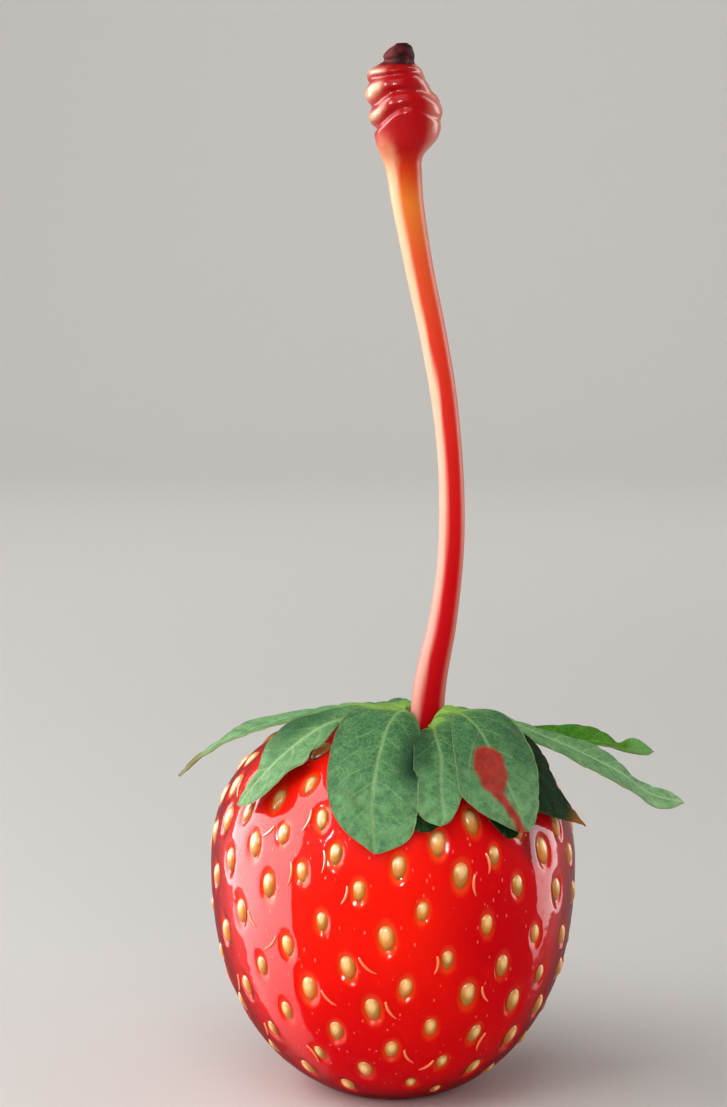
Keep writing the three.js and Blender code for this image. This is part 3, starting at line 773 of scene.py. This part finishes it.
# azimuth is in degrees from +X, and path is (distance from the stalk, height). outline is (share of the
# length, half width on the left, half width on the right).
sepals = {
    "sepalFarLeft": {"azimuth": 164, "sweep": 5, "roll": -6, "crease": 0.1, "wave": 0.08, "look": "pale",
        "brown": 0.8,
        "path": [(2.7, 33.6), (6.1, 34.2), (9.8, 33.5), (13.5, 32.5), (17.3, 31.05), (20.1, 29.6),
            (22.8, 27.2)],
        "outline": [(0, 0.95, 0.95), (0.12, 0.85, 1), (0.39, 1.2, 1.7), (0.5, 1.85, 2), (0.63, 3.15, 1.55),
            (0.695, 3.5, 1.25), (0.755, 2.1, 0.7), (0.78, 1.35, 0.9), (0.81, 1.25, 1.4),
            (0.855, 0.55, 0.75), (0.88, 0.6, 0.45), (0.96, 0.4, 0.3), (1, 0.1, 0.1)]},
    "sepalLeft": {"azimuth": 214, "sweep": -8, "roll": -24, "curl": -0.1, "crease": 0.16, "wave": 0.12,
        "layer": 0.6, "look": "pale", "shadeLeft": 0.75, "brown": 0.97,
        "path": [(2.7, 33.6), (6, 34.5), (10, 33.9), (14.5, 31.6), (17, 29.1), (18.3, 27.2)],
        "outline": [(0, 0.95, 0.95), (0.15, 1.15, 0.9), (0.39, 1.45, 0.6), (0.455, 1.7, 1.4),
            (0.546, 2.15, 2.4), (0.6, 2.15, 2.35), (0.625, 2.1, 3), (0.741, 1.6, 2.95), (0.8, 0.9, 3.15),
            (0.854, 0.6, 3.35), (0.92, 0.45, 2.8), (0.97, 0.3, 1.3), (1, 0.1, 0.2)]},
    "sepalFrontLeft": {"azimuth": 246.5, "sweep": 8, "rootRoll": (-20, 0.2), "roll": 2, "droop": 0.2,
        "shadeRight": 1,
        "path": [(1.95, 32.8), (3.5, 33.8), (5.8, 34.9), (9, 34.3), (12.6, 32.1), (15.3, 29.1), (17.1, 25)],
        "outline": [(0, 0.95, 0.3), (0.08, 2.2, 0.3), (0.17, 3.6, 0.7), (0.27, 4.3, 1.9),
            (0.37, 4.45, 2.75), (0.47, 4.4, 3.2), (0.615, 4.2, 3.7), (0.78, 3.65, 3.95), (0.85, 3.1, 3.8),
            (0.9, 2.45, 3.6), (0.935, 1.75, 3.3), (0.965, 1, 2.65), (0.985, 0.55, 1.6), (1, 0.1, 0.3)]},
    "sepalFrontMiddle": {"azimuth": 275.5, "sweep": -2, "rootRoll": (58, 0.45), "roll": -4, "crease": 0.06,
        "layer": 0.9, "shadeLeft": 0.6,
        "path": [(1.75, 32.7), (3, 33), (5, 33.3), (8.5, 33), (11.7, 31.25), (14, 28.8), (15.3, 27.1)],
        "outline": [(0, 0.2, 1.9), (0.1, 0.2, 2.1), (0.2, 0.9, 2.25), (0.3, 1.9, 2.3), (0.54, 2.2, 2.25),
            (0.74, 2.4, 2.1), (0.85, 2.4, 1.65), (0.925, 2.1, 1.2), (0.97, 1.5, 0.75), (0.99, 0.9, 0.4),
            (1, 0.3, 0.1)]},
    "sepalFrontRight": {"azimuth": 300.5, "sweep": 2.5, "rootRoll": (42, 0.1), "roll": 3, "curl": 0.06,
        "layer": 1.4, "shadeRight": 0.35, "drip": True,
        "path": [(1.9, 34), (3.2, 34.3), (5, 34.6), (8, 34), (10.5, 32.1), (13, 28.8), (14.6, 25.8)],
        "outline": [(0, 0.8, 0.95), (0.12, 0.95, 2.1), (0.235, 1.4, 3.2), (0.35, 2.3, 3.75),
            (0.45, 3.1, 3.95), (0.6, 4.15, 4), (0.7, 4.8, 3.75), (0.75, 5, 3.5), (0.815, 4.45, 3.05),
            (0.88, 3.5, 2.5), (0.935, 2.2, 1.8), (0.975, 1.2, 1.15), (1, 0.4, 0.4)]},
    "sepalRightShoulder": {"azimuth": 320, "sweep": 20, "roll": 25, "curl": 0.1, "wave": 0.1, "layer": 0.35,
        "look": "dark", "brown": 0.84,
        "path": [(2.7, 33.4), (5, 33.6), (8, 32.5), (11.2, 30), (13, 27.4), (14.8, 24.8)],
        "outline": [(0, 0.95, 0.95), (0.2, 2.2, 1.8), (0.4, 4, 2.3), (0.6, 4.6, 2.3), (0.75, 3.7, 1.7),
            (0.85, 2.2, 1), (0.93, 1, 0.5), (1, 0.15, 0.15)]},
    "sepalFarRight": {"azimuth": 357, "sweep": -1, "roll": 18, "twist": 8, "curl": 0.02, "crease": 0.08,
        "wave": 0.14, "look": "pale",
        "path": [(2.7, 33.4), (6.5, 33.2), (11, 31.6), (13.7, 30.4), (17, 28.7), (20.4, 26.6), (22.9, 26.1)],
        "outline": [(0, 0.95, 0.95), (0.15, 1.4, 1), (0.32, 2, 0.9), (0.45, 1.9, 1.6), (0.53, 2.35, 2.05),
            (0.615, 2.2, 2.15), (0.695, 2.05, 1.45), (0.755, 1.75, 0.75), (0.785, 1.4, 0.62),
            (0.82, 1.25, 0.85), (0.865, 1.6, 1.08), (0.92, 1.5, 1.1), (0.96, 1.1, 0.85), (1, 0.1, 0.1)]},
    "sepalUpperRight": {"azimuth": 20, "sweep": -3, "roll": 12, "twist": 22, "curl": -0.12, "crease": 0.1,
        "wave": 0.12, "look": "fresh", "paleTip": 0.86,
        "path": [(2.7, 33.2), (6, 32.8), (9.6, 31.2), (12.8, 30.6), (17, 30), (20.1, 29.1), (21.7, 29.1)],
        "outline": [(0, 0.95, 0.95), (0.2, 1.4, 1), (0.36, 1.7, 1.35), (0.5, 1.95, 1.9), (0.68, 1.7, 2.3),
            (0.73, 1.4, 2.15), (0.785, 1, 1.6), (0.83, 0.6, 0.8), (0.85, 0.4, 0.85), (0.875, 0.25, 1.25),
            (0.905, 0.2, 1.45), (0.93, 0.6, 1.4), (0.965, 0.9, 0.95), (1, 0.1, 0.1)]},
    "sepalBackRight": {"azimuth": 52, "sweep": 6, "curl": 0.06, "layer": 0.55,
        "path": [(2.7, 33.2), (6, 33.2), (10, 31.6), (13.6, 29.1), (16, 25.6)],
        "outline": [(0, 0.95, 0.95), (0.15, 1.9, 1.8), (0.35, 3, 2.9), (0.55, 3.2, 3.2), (0.75, 2.6, 2.7),
            (0.88, 1.6, 1.7), (0.96, 0.8, 0.8), (1, 0.2, 0.2)]},
    "sepalBack": {"azimuth": 86, "sweep": -5, "roll": 3, "wave": 0.18, "layer": 0.9, "shadeLeft": 0.5,
        "path": [(2.7, 33.1), (6, 33.2), (10.5, 31.8), (14.5, 29.2), (17.4, 25.4)],
        "outline": [(0, 0.95, 0.95), (0.15, 2.2, 2.1), (0.35, 3.5, 3.3), (0.6, 3.7, 3.7), (0.78, 3, 3.1),
            (0.9, 1.8, 1.9), (0.965, 0.9, 1), (1, 0.2, 0.2)]},
    "sepalBackLeft": {"azimuth": 120, "sweep": 4, "roll": -4, "curl": 0.04, "crease": 0.06, "layer": 0.55,
        "brown": 0.93,
        "path": [(2.7, 33.3), (6, 33.6), (11, 32.3), (15.2, 29.6), (18, 25.8)],
        "outline": [(0, 0.95, 0.95), (0.18, 1.9, 1.9), (0.4, 3, 2.9), (0.55, 3.1, 3.05), (0.585, 2, 3),
            (0.62, 2.8, 2.95), (0.78, 2.1, 2.2), (0.9, 1.1, 1.2), (1, 0.2, 0.2)]},
    "bractLeft": {"azimuth": 188, "wave": 0.04, "layer": 0.4,
        "path": [(2.7, 33.2), (5, 33.3), (8, 32.8), (10.6, 31.9), (12.4, 30.6)],
        "outline": [(0, 0.95, 0.95), (0.3, 1.4, 1.4), (0.55, 1.6, 1.6), (0.8, 0.95, 0.95), (1, 0.15, 0.15)]},
    "bractFront": {"azimuth": 268, "wave": 0.04, "layer": 0.33, "look": "dark",
        "path": [(3.4, 32.4), (5.5, 32.6), (9, 32.4), (12.8, 30.2), (15.5, 26.6)],
        "outline": [(0, 0.8, 0.8), (0.4, 1.6, 1.6), (0.7, 2.1, 2.1), (0.88, 1.8, 1.9), (0.96, 1.1, 1.3),
            (1, 0.4, 0.5)]},
    "bractRight": {"azimuth": 299, "wave": 0.04, "layer": 0.33, "look": "dark",
        "path": [(2.7, 32.7), (5.2, 32.8), (8.4, 32.2), (11.8, 29.6), (14.4, 25.4)],
        "outline": [(0, 0.95, 0.95), (0.4, 2.3, 2.3), (0.65, 2.8, 2.8), (0.85, 1.9, 2.1), (0.95, 0.9, 1.3),
            (1, 0.3, 0.5)]},
}


leafColours = {
    "rootVein": "8fb04e",
    "rust": "7d6a48",
    "under": "8aa878",
    "paleTip": "6c9a55",
    "stainDark": "901214",
    "stain": "b0221e",
}

leafLooks = {
    "green": {"deep": "285438", "main": "447242", "light": "76a86e", "vein": "87a66e", "edge": "9cae76",
              "root": "8cb848", "shade": "12361f", "brown": "6b4a22", "shine": 0.04},
    "pale": {"deep": "3e7044", "main": "66965e", "light": "88ae78", "vein": "a6c48c", "edge": "b0be88",
             "root": "8cb450", "shade": "2c5632", "brown": "7a6c3a", "shine": 0.04},
    "fresh": {"deep": "1e5806", "main": "38780e", "light": "5a8f2c", "vein": "70a244", "edge": "8eaa50",
              "root": "7a9c48", "shade": "123a06", "brown": "6b4a22", "shine": 0.04},
    # dark is a copy of the green leaf for sepals that lie in shadow: painted shade; its brown tip is the
    # sepal's own colour
    "dark": {"deep": "051604", "main": "0a2207", "light": "12300d", "vein": "1a3c14", "edge": "404214",
             "root": "5c7a34", "shade": "041203", "brown": "a4601c", "shine": 0.02},
}


def veinPlaces(x, y, seed):
    # the midrib is at 0 of the first, and side veins at the whole numbers of the second
    c = sepalCommon
    drift = waves(triples(x, y, 0), 4.0, seed).reshape(x.shape) * c["veinDrift"]
    ribward = x + 0.4 * drift
    across = np.abs(ribward)
    along = y + 1.6 * drift + 0.35 * np.tanh(ribward / 0.7)
    return ribward, (along - c["veinSlant"] * across - c["veinArch"] * across ** 2) / c["veinPitch"]


def dripDistance(x, y):
    # millimetres outside the drip's outline, negative inside
    drip = np.array(sepalCommon["drip"])
    nearest = np.full(x.shape, 5.0)
    for (ax, ay, aw), (bx, by, bw) in zip(drip, drip[1:]):
        share = ((x - ax) * (bx - ax) + (y - ay) * (by - ay)) / ((bx - ax) ** 2 + (by - ay) ** 2)
        share = share.clip(0, 1)
        away = np.hypot(x - ax - share * (bx - ax), y - ay - share * (by - ay))
        nearest = np.minimum(nearest, away - (aw + share * (bw - aw)))
    return nearest


def runLength(points):
    return np.concatenate([[0], np.cumsum(np.linalg.norm(np.diff(points, axis=0), axis=1))])


def sepalMidrib(v, shares):
    # the midrib's points and length, and the blade's side and normal at each point
    path = np.array(v["path"], float)
    chord = runLength(path)
    fine = curveThrough(chord, path, np.linspace(0, chord[-1], 400))
    length = runLength(fine)
    radius = np.interp(shares * length[-1], length, fine[:, 0])
    height = np.interp(shares * length[-1], length, fine[:, 1])
    angle = np.radians(v["azimuth"] + v["sweep"] * shares ** 2)
    centre = np.stack([skinValues["calyxX"] + radius * np.cos(angle), radius * np.sin(angle), height], -1)
    along = unit(np.gradient(centre, axis=0))
    side = unit(np.cross([0, 0, 1.0], along))
    normal = np.cross(along, side)
    rootRoll, rootEnd = v["rootRoll"]
    roll = rootRoll * (1 - smoothStep(0, rootEnd, shares)) + v["roll"] * smoothStep(0, 0.4, shares)
    roll = np.radians(roll + v["twist"] * smoothStep(0.75, 1, shares))[:, None]
    return (centre, length[-1], side * np.cos(roll) + normal * np.sin(roll),
            normal * np.cos(roll) - side * np.sin(roll))


def sepalBlade(v, shares, across):
    # the flat blade's places across and along, and the points of its mid surface, draped over the skin
    centre, length, side, normal = sepalMidrib(v, shares)
    left, right = tableAt(v["outline"], shares).clip(0.05).T
    width = np.where(across < 0, left[:, None], right[:, None])
    rows = shares[:, None]
    x = across * width
    y = rows * length + 0 * x
    lift = v["wave"] * np.sin(9 * rows + 2 * across + v["azimuth"]) * across ** 2 * rows
    lift = lift - v["curl"] * width * across ** 2 * rows * 2
    lift = lift + v["crease"] * np.abs(x) * smoothStep(0, 0.3, rows)
    droop = v["droop"] * (smoothStep(0.05, 0.2, rows) - smoothStep(0.45, 0.75, rows))
    lift = lift - droop * x.clip(0) ** 2
    middle = centre[:, None] + side[:, None] * x[..., None] + normal[:, None] * lift[..., None]
    return x, y, keepOff(middle.reshape(-1, 3), v["layer"]).reshape(middle.shape)


def makeSepal(name, material):
    c, v = sepalCommon, {**sepalDefaults, **sepals[name]}
    rows, columns = c["rows"], c["columns"]
    shares = np.linspace(0, 1, rows + 1)
    across = np.linspace(-1, 1, columns + 1)[None, :]
    x, y, middle = sepalBlade(v, shares, across)
    up = unit(np.cross(np.gradient(middle, axis=0), np.gradient(middle, axis=1)))
    ribward, rank = veinPlaces(x, y, v["azimuth"])
    away = np.abs(rank - np.round(rank)) * c["veinPitch"]
    veins = np.exp(-(away / c["veinWidth"]) ** 2) * 0.8
    veins = np.maximum(veins, np.exp(-(ribward / c["midribWidth"]) ** 2))
    veins = veins * smoothStep(0.02, 0.12, shares)[:, None]
    bumps = waves(triples(x, y, 0), c["puckerLength"], 4).reshape(x.shape)
    relief = c["pucker"] * bumps * (1 - veins) * (1 - np.abs(across) ** 4) - c["veinDepth"] * veins
    half = (c["edgeThickness"] + (c["thickness"] - c["edgeThickness"]) * (1 - across ** 4)) / 2
    half = half * (1 - 0.5 * smoothStep(0.9, 1, shares))[:, None]
    top = middle + up * (half + relief)[..., None]
    bottom = middle - up * (half - 0.6 * relief)[..., None]

    wide = columns + 1
    under = (rows + 1) * wide
    faces = gridFaces(rows, columns, flip=True) + gridFaces(rows, columns, first=under)
    border = [i * wide for i in range(rows + 1)] + [rows * wide + j for j in range(1, wide)]
    border += [i * wide + columns for i in range(rows - 1, -1, -1)] + list(range(columns - 1, 0, -1))
    faces += wallFaces(border, under)
    leaf = triples(x, y, shares[:, None])
    share = leaf[:, 2]
    edge = np.maximum(np.abs(across), smoothStep(0.94, 1, shares)[:, None]).ravel()
    shade = v["shadeLeft"] * smoothStep(0.1, 1.2, -x) + v["shadeRight"] * smoothStep(1.0, 3.1, x)
    shade = shade.ravel() * hump(0.2, 0.45, 0.6, 0.8, share)
    brown = smoothStep(v["brown"], v["brown"] + 0.12, share)
    paleTip = smoothStep(v["paleTip"], v["paleTip"] + 0.06, share)
    offDrip = np.full(under, 5.0)
    drip = dripDistance(x, y).ravel() if v["drip"] else offDrip
    fields = {"leaf": leaf, "vein": triples(ribward, rank, 0), "marksAndShade": triples(shade, brown, paleTip),
              "edge": edge}
    fields = {field: np.concatenate([values, values]) for field, values in fields.items()}
    fields["under"] = np.repeat([0.0, 1.0], under)
    fields["drip"] = np.concatenate([drip, offDrip])
    points = np.concatenate([top.reshape(-1, 3), bottom.reshape(-1, 3)])
    dressPiece(buildPiece(name, points, faces, fields), material, "calyx")


def veinGroup():
    # masks of a leaf's veins. Leaf is across and along in millimetres and the share of the length, Vein is
    # the distance from the midrib and the side veins' numbers
    group = bpy.data.node_groups.new("leafVeins", "ShaderNodeTree")
    for name in ("Leaf", "Vein"):
        group.interface.new_socket(name, in_out="INPUT", socket_type="NodeSocketVector")
    for name in ("Veins", "Net", "Mottle"):
        group.interface.new_socket(name, in_out="OUTPUT", socket_type="NodeSocketFloat")
    n = NodeMaker(group)
    source = group.nodes.new("NodeGroupInput").outputs
    leaf = source["Leaf"]
    parts = n.parts(source["Vein"])
    fade = n.range(n.noise(leaf, 0.7), 0.35, 0.6, 0.25, 1)
    side = n.range(n.math("PINGPONG", parts["Y"], 0.5), 0.01, 0.075, 0.65, 0)
    middle = n.range(n.math("ABSOLUTE", parts["X"]), 0.05, 0.24, 1, 0)
    veins = n.math("MAXIMUM", n.times(side, fade), middle)
    bent = n.vector("MULTIPLY_ADD", n.noise(leaf, 1.1, output="Color"), (0.9, 0.9, 0.9), leaf)
    cells = n.add("TexVoronoi", {"Vector": bent, "Scale": 2.1}, feature="DISTANCE_TO_EDGE")
    n.fill(group.nodes.new("NodeGroupOutput"), {
        "Veins": n.times(veins, n.range(n.parts(leaf)["Z"], 0.02, 0.12)),
        "Net": n.range(cells.outputs["Distance"], 0.01, 0.12, 1, 0),
        "Mottle": n.noise(leaf, 1.1, 5, 0.7)})
    return group


leafVeins = veinGroup()


def leafMaterial(look):
    c, v = leafColours, leafLooks[look]
    n = newMaterial("leaf" + look.title())
    leaf = n.field("leaf", "Vector")
    share = n.parts(leaf)["Z"]
    edge = n.field("edge")
    marksAndShade = n.parts(n.field("marksAndShade", "Vector"))
    group = n.add("Group", {}, node_tree=leafVeins)
    n.fill(group, {"Leaf": leaf, "Vein": n.field("vein", "Vector")})
    veins, net, mottle = (group.outputs[k] for k in ("Veins", "Net", "Mottle"))
    rust = n.range(n.noise(leaf, 0.42, 3), 0.6, 0.74, 0, 0.4)
    green = n.layers(
        n.mix(n.range(share, 0.48, 1, 0, 0.85), v["main"], v["light"]),
        (n.range(mottle, 0.34, 0.6, 0.6, 0), v["deep"]),
        (n.range(mottle, 0.54, 0.72, 0, 0.4), v["light"]),
        (n.times(net, 0.28), v["light"]),
        (n.times(veins, 0.62), n.mix(n.range(share, 0.15, 0.5), c["rootVein"], v["vein"])),
        # painted shade on one side
        (marksAndShade["X"], v["shade"]),
        (n.times(rust, n.range(edge, 0.2, 0.8)), c["rust"]),
        (n.times(n.field("under"), 0.55), c["under"]),
        (n.range(edge, 0.95, 1, 0, 0.45), v["edge"]),
        (n.range(share, 0.29, 0.11, 0, 0.75), v["root"]),
        # painted light on the twisted-up tip
        (n.times(marksAndShade["Z"], 0.7), c["paleTip"]),
        (n.times(marksAndShade["Y"], 0.85), v["brown"]),
        (n.range(n.field("drip"), -0.36, 0.18, 0.93, 0),
         n.mix(n.range(mottle, 0.3, 0.7), c["stainDark"], c["stain"])))
    relief = n.scaled(net, -0.6, n.times(mottle, 0.8))
    return n.shade({"Base Color": green, "Normal": n.bump(relief, 0.6, 0.00012), "Roughness": 0.55,
                    "Specular IOR Level": v["shine"]})


hubValues = {
    "holeRadius": 1.72,
    "outerRadius": 6.0,
    "ridges": 14,
    "ridgeHeight": 0.07,
    "rootDepth": 0.25,  # how far its underside is sunk into the skin
    "rings": 30,
    "sides": 140,
    # distance from the stalk's axis, height over the skin
    "profile": [(1.72, 0.1), (1.8, 1.5), (2.1, 1.8), (2.6, 1.6), (3.4, 1.1), (4.4, 0.6), (5.2, 0.34),
                (6.0, 0.2)],
    "frontNotch": 264,
    "notchWidth": 29,
    "green": "4c7838",
    "lightGreen": "739a50",
    "ridgeGreen": "94b060",
}


def shoulderHeight(x, y):
    v = skinValues
    radius = np.hypot(x, y) / lobeAt(np.arctan2(y, x)) / v["radius"]
    rise = (1 - radius ** v["upperPower"]) ** (1 / v["upperPower"])
    return v["widestHeight"] + v["upperDepth"] * rise - dimpleAt(np.stack([x, y, 0 * x], -1))


def hubMaterial():
    v = hubValues
    n = newMaterial("hubGreen")
    blotch = n.noise(n.place(), 700, 3, 0.6)
    green = n.mix(n.range(blotch, 0.35, 0.7), v["green"], v["lightGreen"])
    green = n.mix(n.times(n.field("ridge"), 0.35), green, v["ridgeGreen"])
    return n.shade({"Base Color": green, "Roughness": 0.6, "Specular IOR Level": 0.06})


def makeHub():
    v = hubValues
    radii = np.linspace(v["holeRadius"], v["outerRadius"], v["rings"] + 1)
    rho, phi = np.meshgrid(radii, fullTurn(v["sides"]), indexing="ij")
    crest = tableAt(v["profile"], rho.ravel()).reshape(rho.shape)
    ridge = 0.5 + 0.5 * np.cos(v["ridges"] * phi + 1.1 * np.sin(3 * phi))
    away = (np.degrees(phi) - v["frontNotch"]) / v["notchWidth"]
    crest = crest * (1 - 0.8 * np.exp(-away ** 2)) + 0.05
    x = skinValues["calyxX"] + rho * np.cos(phi)
    y = rho * np.sin(phi)
    ground = shoulderHeight(x, y)
    crest = crest + v["ridgeHeight"] * ridge * smoothStep(2.0, 3.0, rho)
    points = np.concatenate([triples(x, y, ground + crest), triples(x, y, ground - v["rootDepth"])])
    under = rho.size
    faces = gridFaces(v["rings"], v["sides"], closed=True, flip=True)
    faces += gridFaces(v["rings"], v["sides"], first=under, closed=True)
    faces += wallFaces(list(range(v["sides"]))[::-1], under)
    faces += wallFaces(list(range(under - v["sides"], under)), under)
    piece = buildPiece("calyxHub", points, faces, {"ridge": np.tile(ridge.ravel(), 2)})
    dressPiece(piece, hubMaterial(), "calyx")


leafMaterials = {look: leafMaterial(look) for look in leafLooks}
for name, sepal in sepals.items():
    makeSepal(name, leafMaterials[sepal.get("look", sepalDefaults["look"])])
makeHub()


# stalk and its knob

stalkValues = {
    "path": [
        (2.9, 0, 32.35), (3.35, -0.1, 36.8), (4.4, -0.3, 42.2), (5.1, -0.4, 48.5), (5.1, -0.4, 54.7),
        (4.5, -0.2, 61.5), (3.35, 0.1, 68.1), (2.17, 0.3, 73.6), (1.65, 0.3, 76.5), (1.22, 0.3, 79.4),
        (1.02, 0.3, 82), (0.9, 0.2, 85.2), (0.73, 0.1, 88.4), (0.62, 0, 92.8),
    ],
    # height, radius on the left, radius on the right
    "profile": [
        (32.35, 1.5, 1.5), (36.8, 1.44, 1.44), (40.4, 1.32, 1.32), (44, 1.2, 1.2), (51, 1.14, 1.14),
        (57, 1.1, 1.1), (65, 1.17, 1.17), (70, 1.2, 1.2), (75.7, 1.29, 1.29), (79.4, 1.48, 1.36),
        (81.4, 1.66, 1.42), (82.6, 1.9, 1.5), (83.05, 2.08, 1.7), (83.4, 2.24, 2), (83.9, 2.42, 2.5),
        (84.3, 2.5, 2.85), (85.1, 2.68, 3.2), (86, 2.9, 3.37), (86.9, 3.08, 3.42), (87.5, 3.14, 3.33),
        (88, 3.16, 3), (88.4, 3.2, 2.62), (89.1, 3.28, 2.35), (89.65, 3.16, 2.12), (90.1, 2.96, 1.85),
        (90.5, 2.65, 1.62), (90.8, 2.05, 1.25), (91.05, 1.6, 1.16), (91.6, 1.55, 1.1), (92, 1.2, 1.02),
        (92.35, 0.75, 0.85), (92.64, 0.35, 0.5),
    ],
    "sides": 96,
    "stalkRings": 180,
    "knobStart": 82.6,
    "knobRings": 240,
    # the scars of the old bud scales are arcs round a point this high and this far right of the centre line
    "scarHeight": 83.7,
    "scarSide": 0.3,
    "scarFirst": 3.5,  # radius of the first one
    "scarPitch": 1.4,
    "scarDepth": 0.42,
    "scarTop": 90.9,
    "scarDrift": 0.45,
    # the pale ridges between the scars on the left are a painted highlight
    "scarHighlight": 0.75,  # how pale the ridges between the scars are on the left
    "ribs": 7,
    "ribHeight": 0.01,
    "capStart": 90.75,
    "lumpHeight": 0.14,
    "lumpLength": 0.75,
    # height, colour of the front, colour of the left side, which is partly the stalk's own paler side and
    # partly a painted highlight
    "colours": [
        (32.3, "c00010", "d88478"), (46, "c80a10", "e2a08c"), (56, "d01c18", "e6b096"),
        (66, "d83420", "e8b898"), (74, "dc5428", "e8b892"), (79, "de762a", "e8bc90"),
        (81.5, "cc3c14", "e6ae84"), (83.5, "b8080a", "dc8460"), (85.5, "ac0208", "b41410"),
        (92, "a00308", "a00608"),
    ],
    # painted highlight along the right edge
    "rightRimHighlight": "ec9882",
    "ridgeHighlightColour": "f0c8a0",
    "capBlack": "16050a",
    "capRed": "4a0c10",
    "capLeft": "6a1418",
}


def stalkMaterial():
    v = stalkValues
    n = newMaterial("stalkSkin")
    place = n.place()
    around = n.parts(n.field("around", "Vector"))
    height = around["Z"]
    low, high = v["colours"][0][0], v["colours"][-1][0]
    shifted = n.scaled(n.noise(place, 260, 3), 2, n.math("ADD", height, -1))
    share = n.range(shifted, low, high, kind="LINEAR")
    front, left = (n.ramp(share, [((stop[0] - low) / (high - low), stop[side]) for stop in v["colours"]])
                   for side in (1, 2))
    streaks = n.noise(n.stretch(place, (1, 1, 0.04)), 1100)
    sideways = n.math("ADD", around["X"], n.scaled(streaks, 0.5, -0.25))
    # painted highlight on the knob's scar ridges on the left side
    ridge = n.times(n.field("ridge"), n.range(sideways, -0.35, -0.75))
    # the blackish scar at the very end
    jag = n.scaled(n.noise(place, 1100, 3, 0.6), 0.7, height)
    cap = n.range(jag, v["capStart"] + 0.23, v["capStart"] + 0.51)
    dark = n.mix(n.range(n.noise(place, 1500), 0.45, 0.65), v["capBlack"], v["capRed"])
    red = n.layers(
        # the pale left side is partly a painted highlight
        n.mix(n.range(sideways, -0.2, -0.64), front, left),
        # painted highlight along the right edge
        (n.range(around["X"], 0.55, 0.92, 0, 0.6), v["rightRimHighlight"]),
        (n.times(ridge, v["scarHighlight"]), v["ridgeHighlightColour"]),
        (cap, n.mix(n.range(around["X"], 0, -0.9, 0, 0.7), dark, v["capLeft"])))
    coat = n.times(n.range(cap, 0, 1, 1, 0.05), n.range(height, 82, 84.5, 0.1, 0.8))
    return n.shade({
        "Base Color": red, "Roughness": n.range(cap, 0, 1, 0.36, 0.6), "Coat Weight": coat,
        "Coat Roughness": 0.16, "Coat IOR": 1.22, "Specular IOR Level": 0.05, "Subsurface Weight": 0.2,
        "Subsurface Radius": (1, 0.25, 0.1), "Subsurface Scale": 0.0010})


def makeStalk():
    v = stalkValues
    foot, end = v["profile"][0][0], v["profile"][-1][0]
    heights = np.concatenate([np.linspace(foot, v["knobStart"], v["stalkRings"], endpoint=False),
                              np.linspace(v["knobStart"], end, v["knobRings"])])
    radii = tableAt(v["profile"], heights)
    path = np.array(v["path"])
    centre = np.column_stack([curveThrough(path[:, 2], path[:, :2], heights), heights])
    along = unit(np.gradient(centre, heights, axis=0))
    right = unit(np.cross([0, 1.0, 0], along))
    front = np.cross(right, along)
    turns = fullTurn(v["sides"])
    across, ahead = np.cos(turns)[None, :], np.sin(turns)[None, :]
    mean, lean = radii.mean(1)[:, None], (radii[:, 1] - radii[:, 0])[:, None] / 2
    outward = np.hypot(heights[:, None] - v["scarHeight"], across * mean - v["scarSide"]) - v["scarFirst"]
    drift = waves(triples(across * mean, ahead * mean, heights[:, None]), 2.6, 3).reshape(outward.shape)
    outward = outward + v["scarDrift"] * drift
    swing = np.cos(2 * math.pi * outward / v["scarPitch"]) / 2
    scars = (0.5 + swing) ** 2 * smoothStep(-0.6, -0.1, outward)
    low, high = v["scarHeight"], v["scarTop"]
    scars = scars * hump(low, low + 0.5, high - 0.3, high, heights)[:, None]
    radius = mean + lean * across - v["scarDepth"] * scars * (0.65 - 0.35 * across)
    below = 1 - smoothStep(v["knobStart"] - 2, v["knobStart"], heights)[:, None]
    radius = radius + v["ribHeight"] * np.cos(v["ribs"] * turns)[None, :] * below
    ring = right[:, None] * across[..., None] + front[:, None] * ahead[..., None]
    cap = heights > v["capStart"]
    spots = (centre[:, None] + ring * radius[..., None])[cap]
    lumps = waves(spots.reshape(-1, 3), v["lumpLength"], 9).reshape(spots.shape[:2])
    lumps = lumps * smoothStep(v["capStart"], v["capStart"] + 0.3, heights[cap])[:, None]
    radius[cap] += v["lumpHeight"] * lumps
    points = centre[:, None] + ring * radius[..., None]
    count = len(heights)
    points = np.concatenate([points.reshape(-1, 3), [centre[0], centre[-1] + [0, 0, 0.008]]])
    faces = gridFaces(count - 1, v["sides"], closed=True, flip=True)
    faces += fanFaces(0, v["sides"], len(points) - 2, flip=True)
    faces += fanFaces((count - 1) * v["sides"], v["sides"], len(points) - 1)
    around = np.concatenate([triples(across, ahead, heights[:, None]), [(0, 0, foot), (0, 0, end)]])
    ridge = np.where(outward > -0.2, 0.5 - swing, 0) ** 1.5
    ridge = ridge * hump(low + 1.5, low + 3, high - 0.7, high - 0.1, heights)[:, None]
    ridge = np.append(ridge.ravel(), (0, 0))
    piece = buildPiece("stalkSkin", points, faces, {"around": around, "ridge": ridge})
    dressPiece(piece, stalkMaterial(), "stalk")


makeStalk()
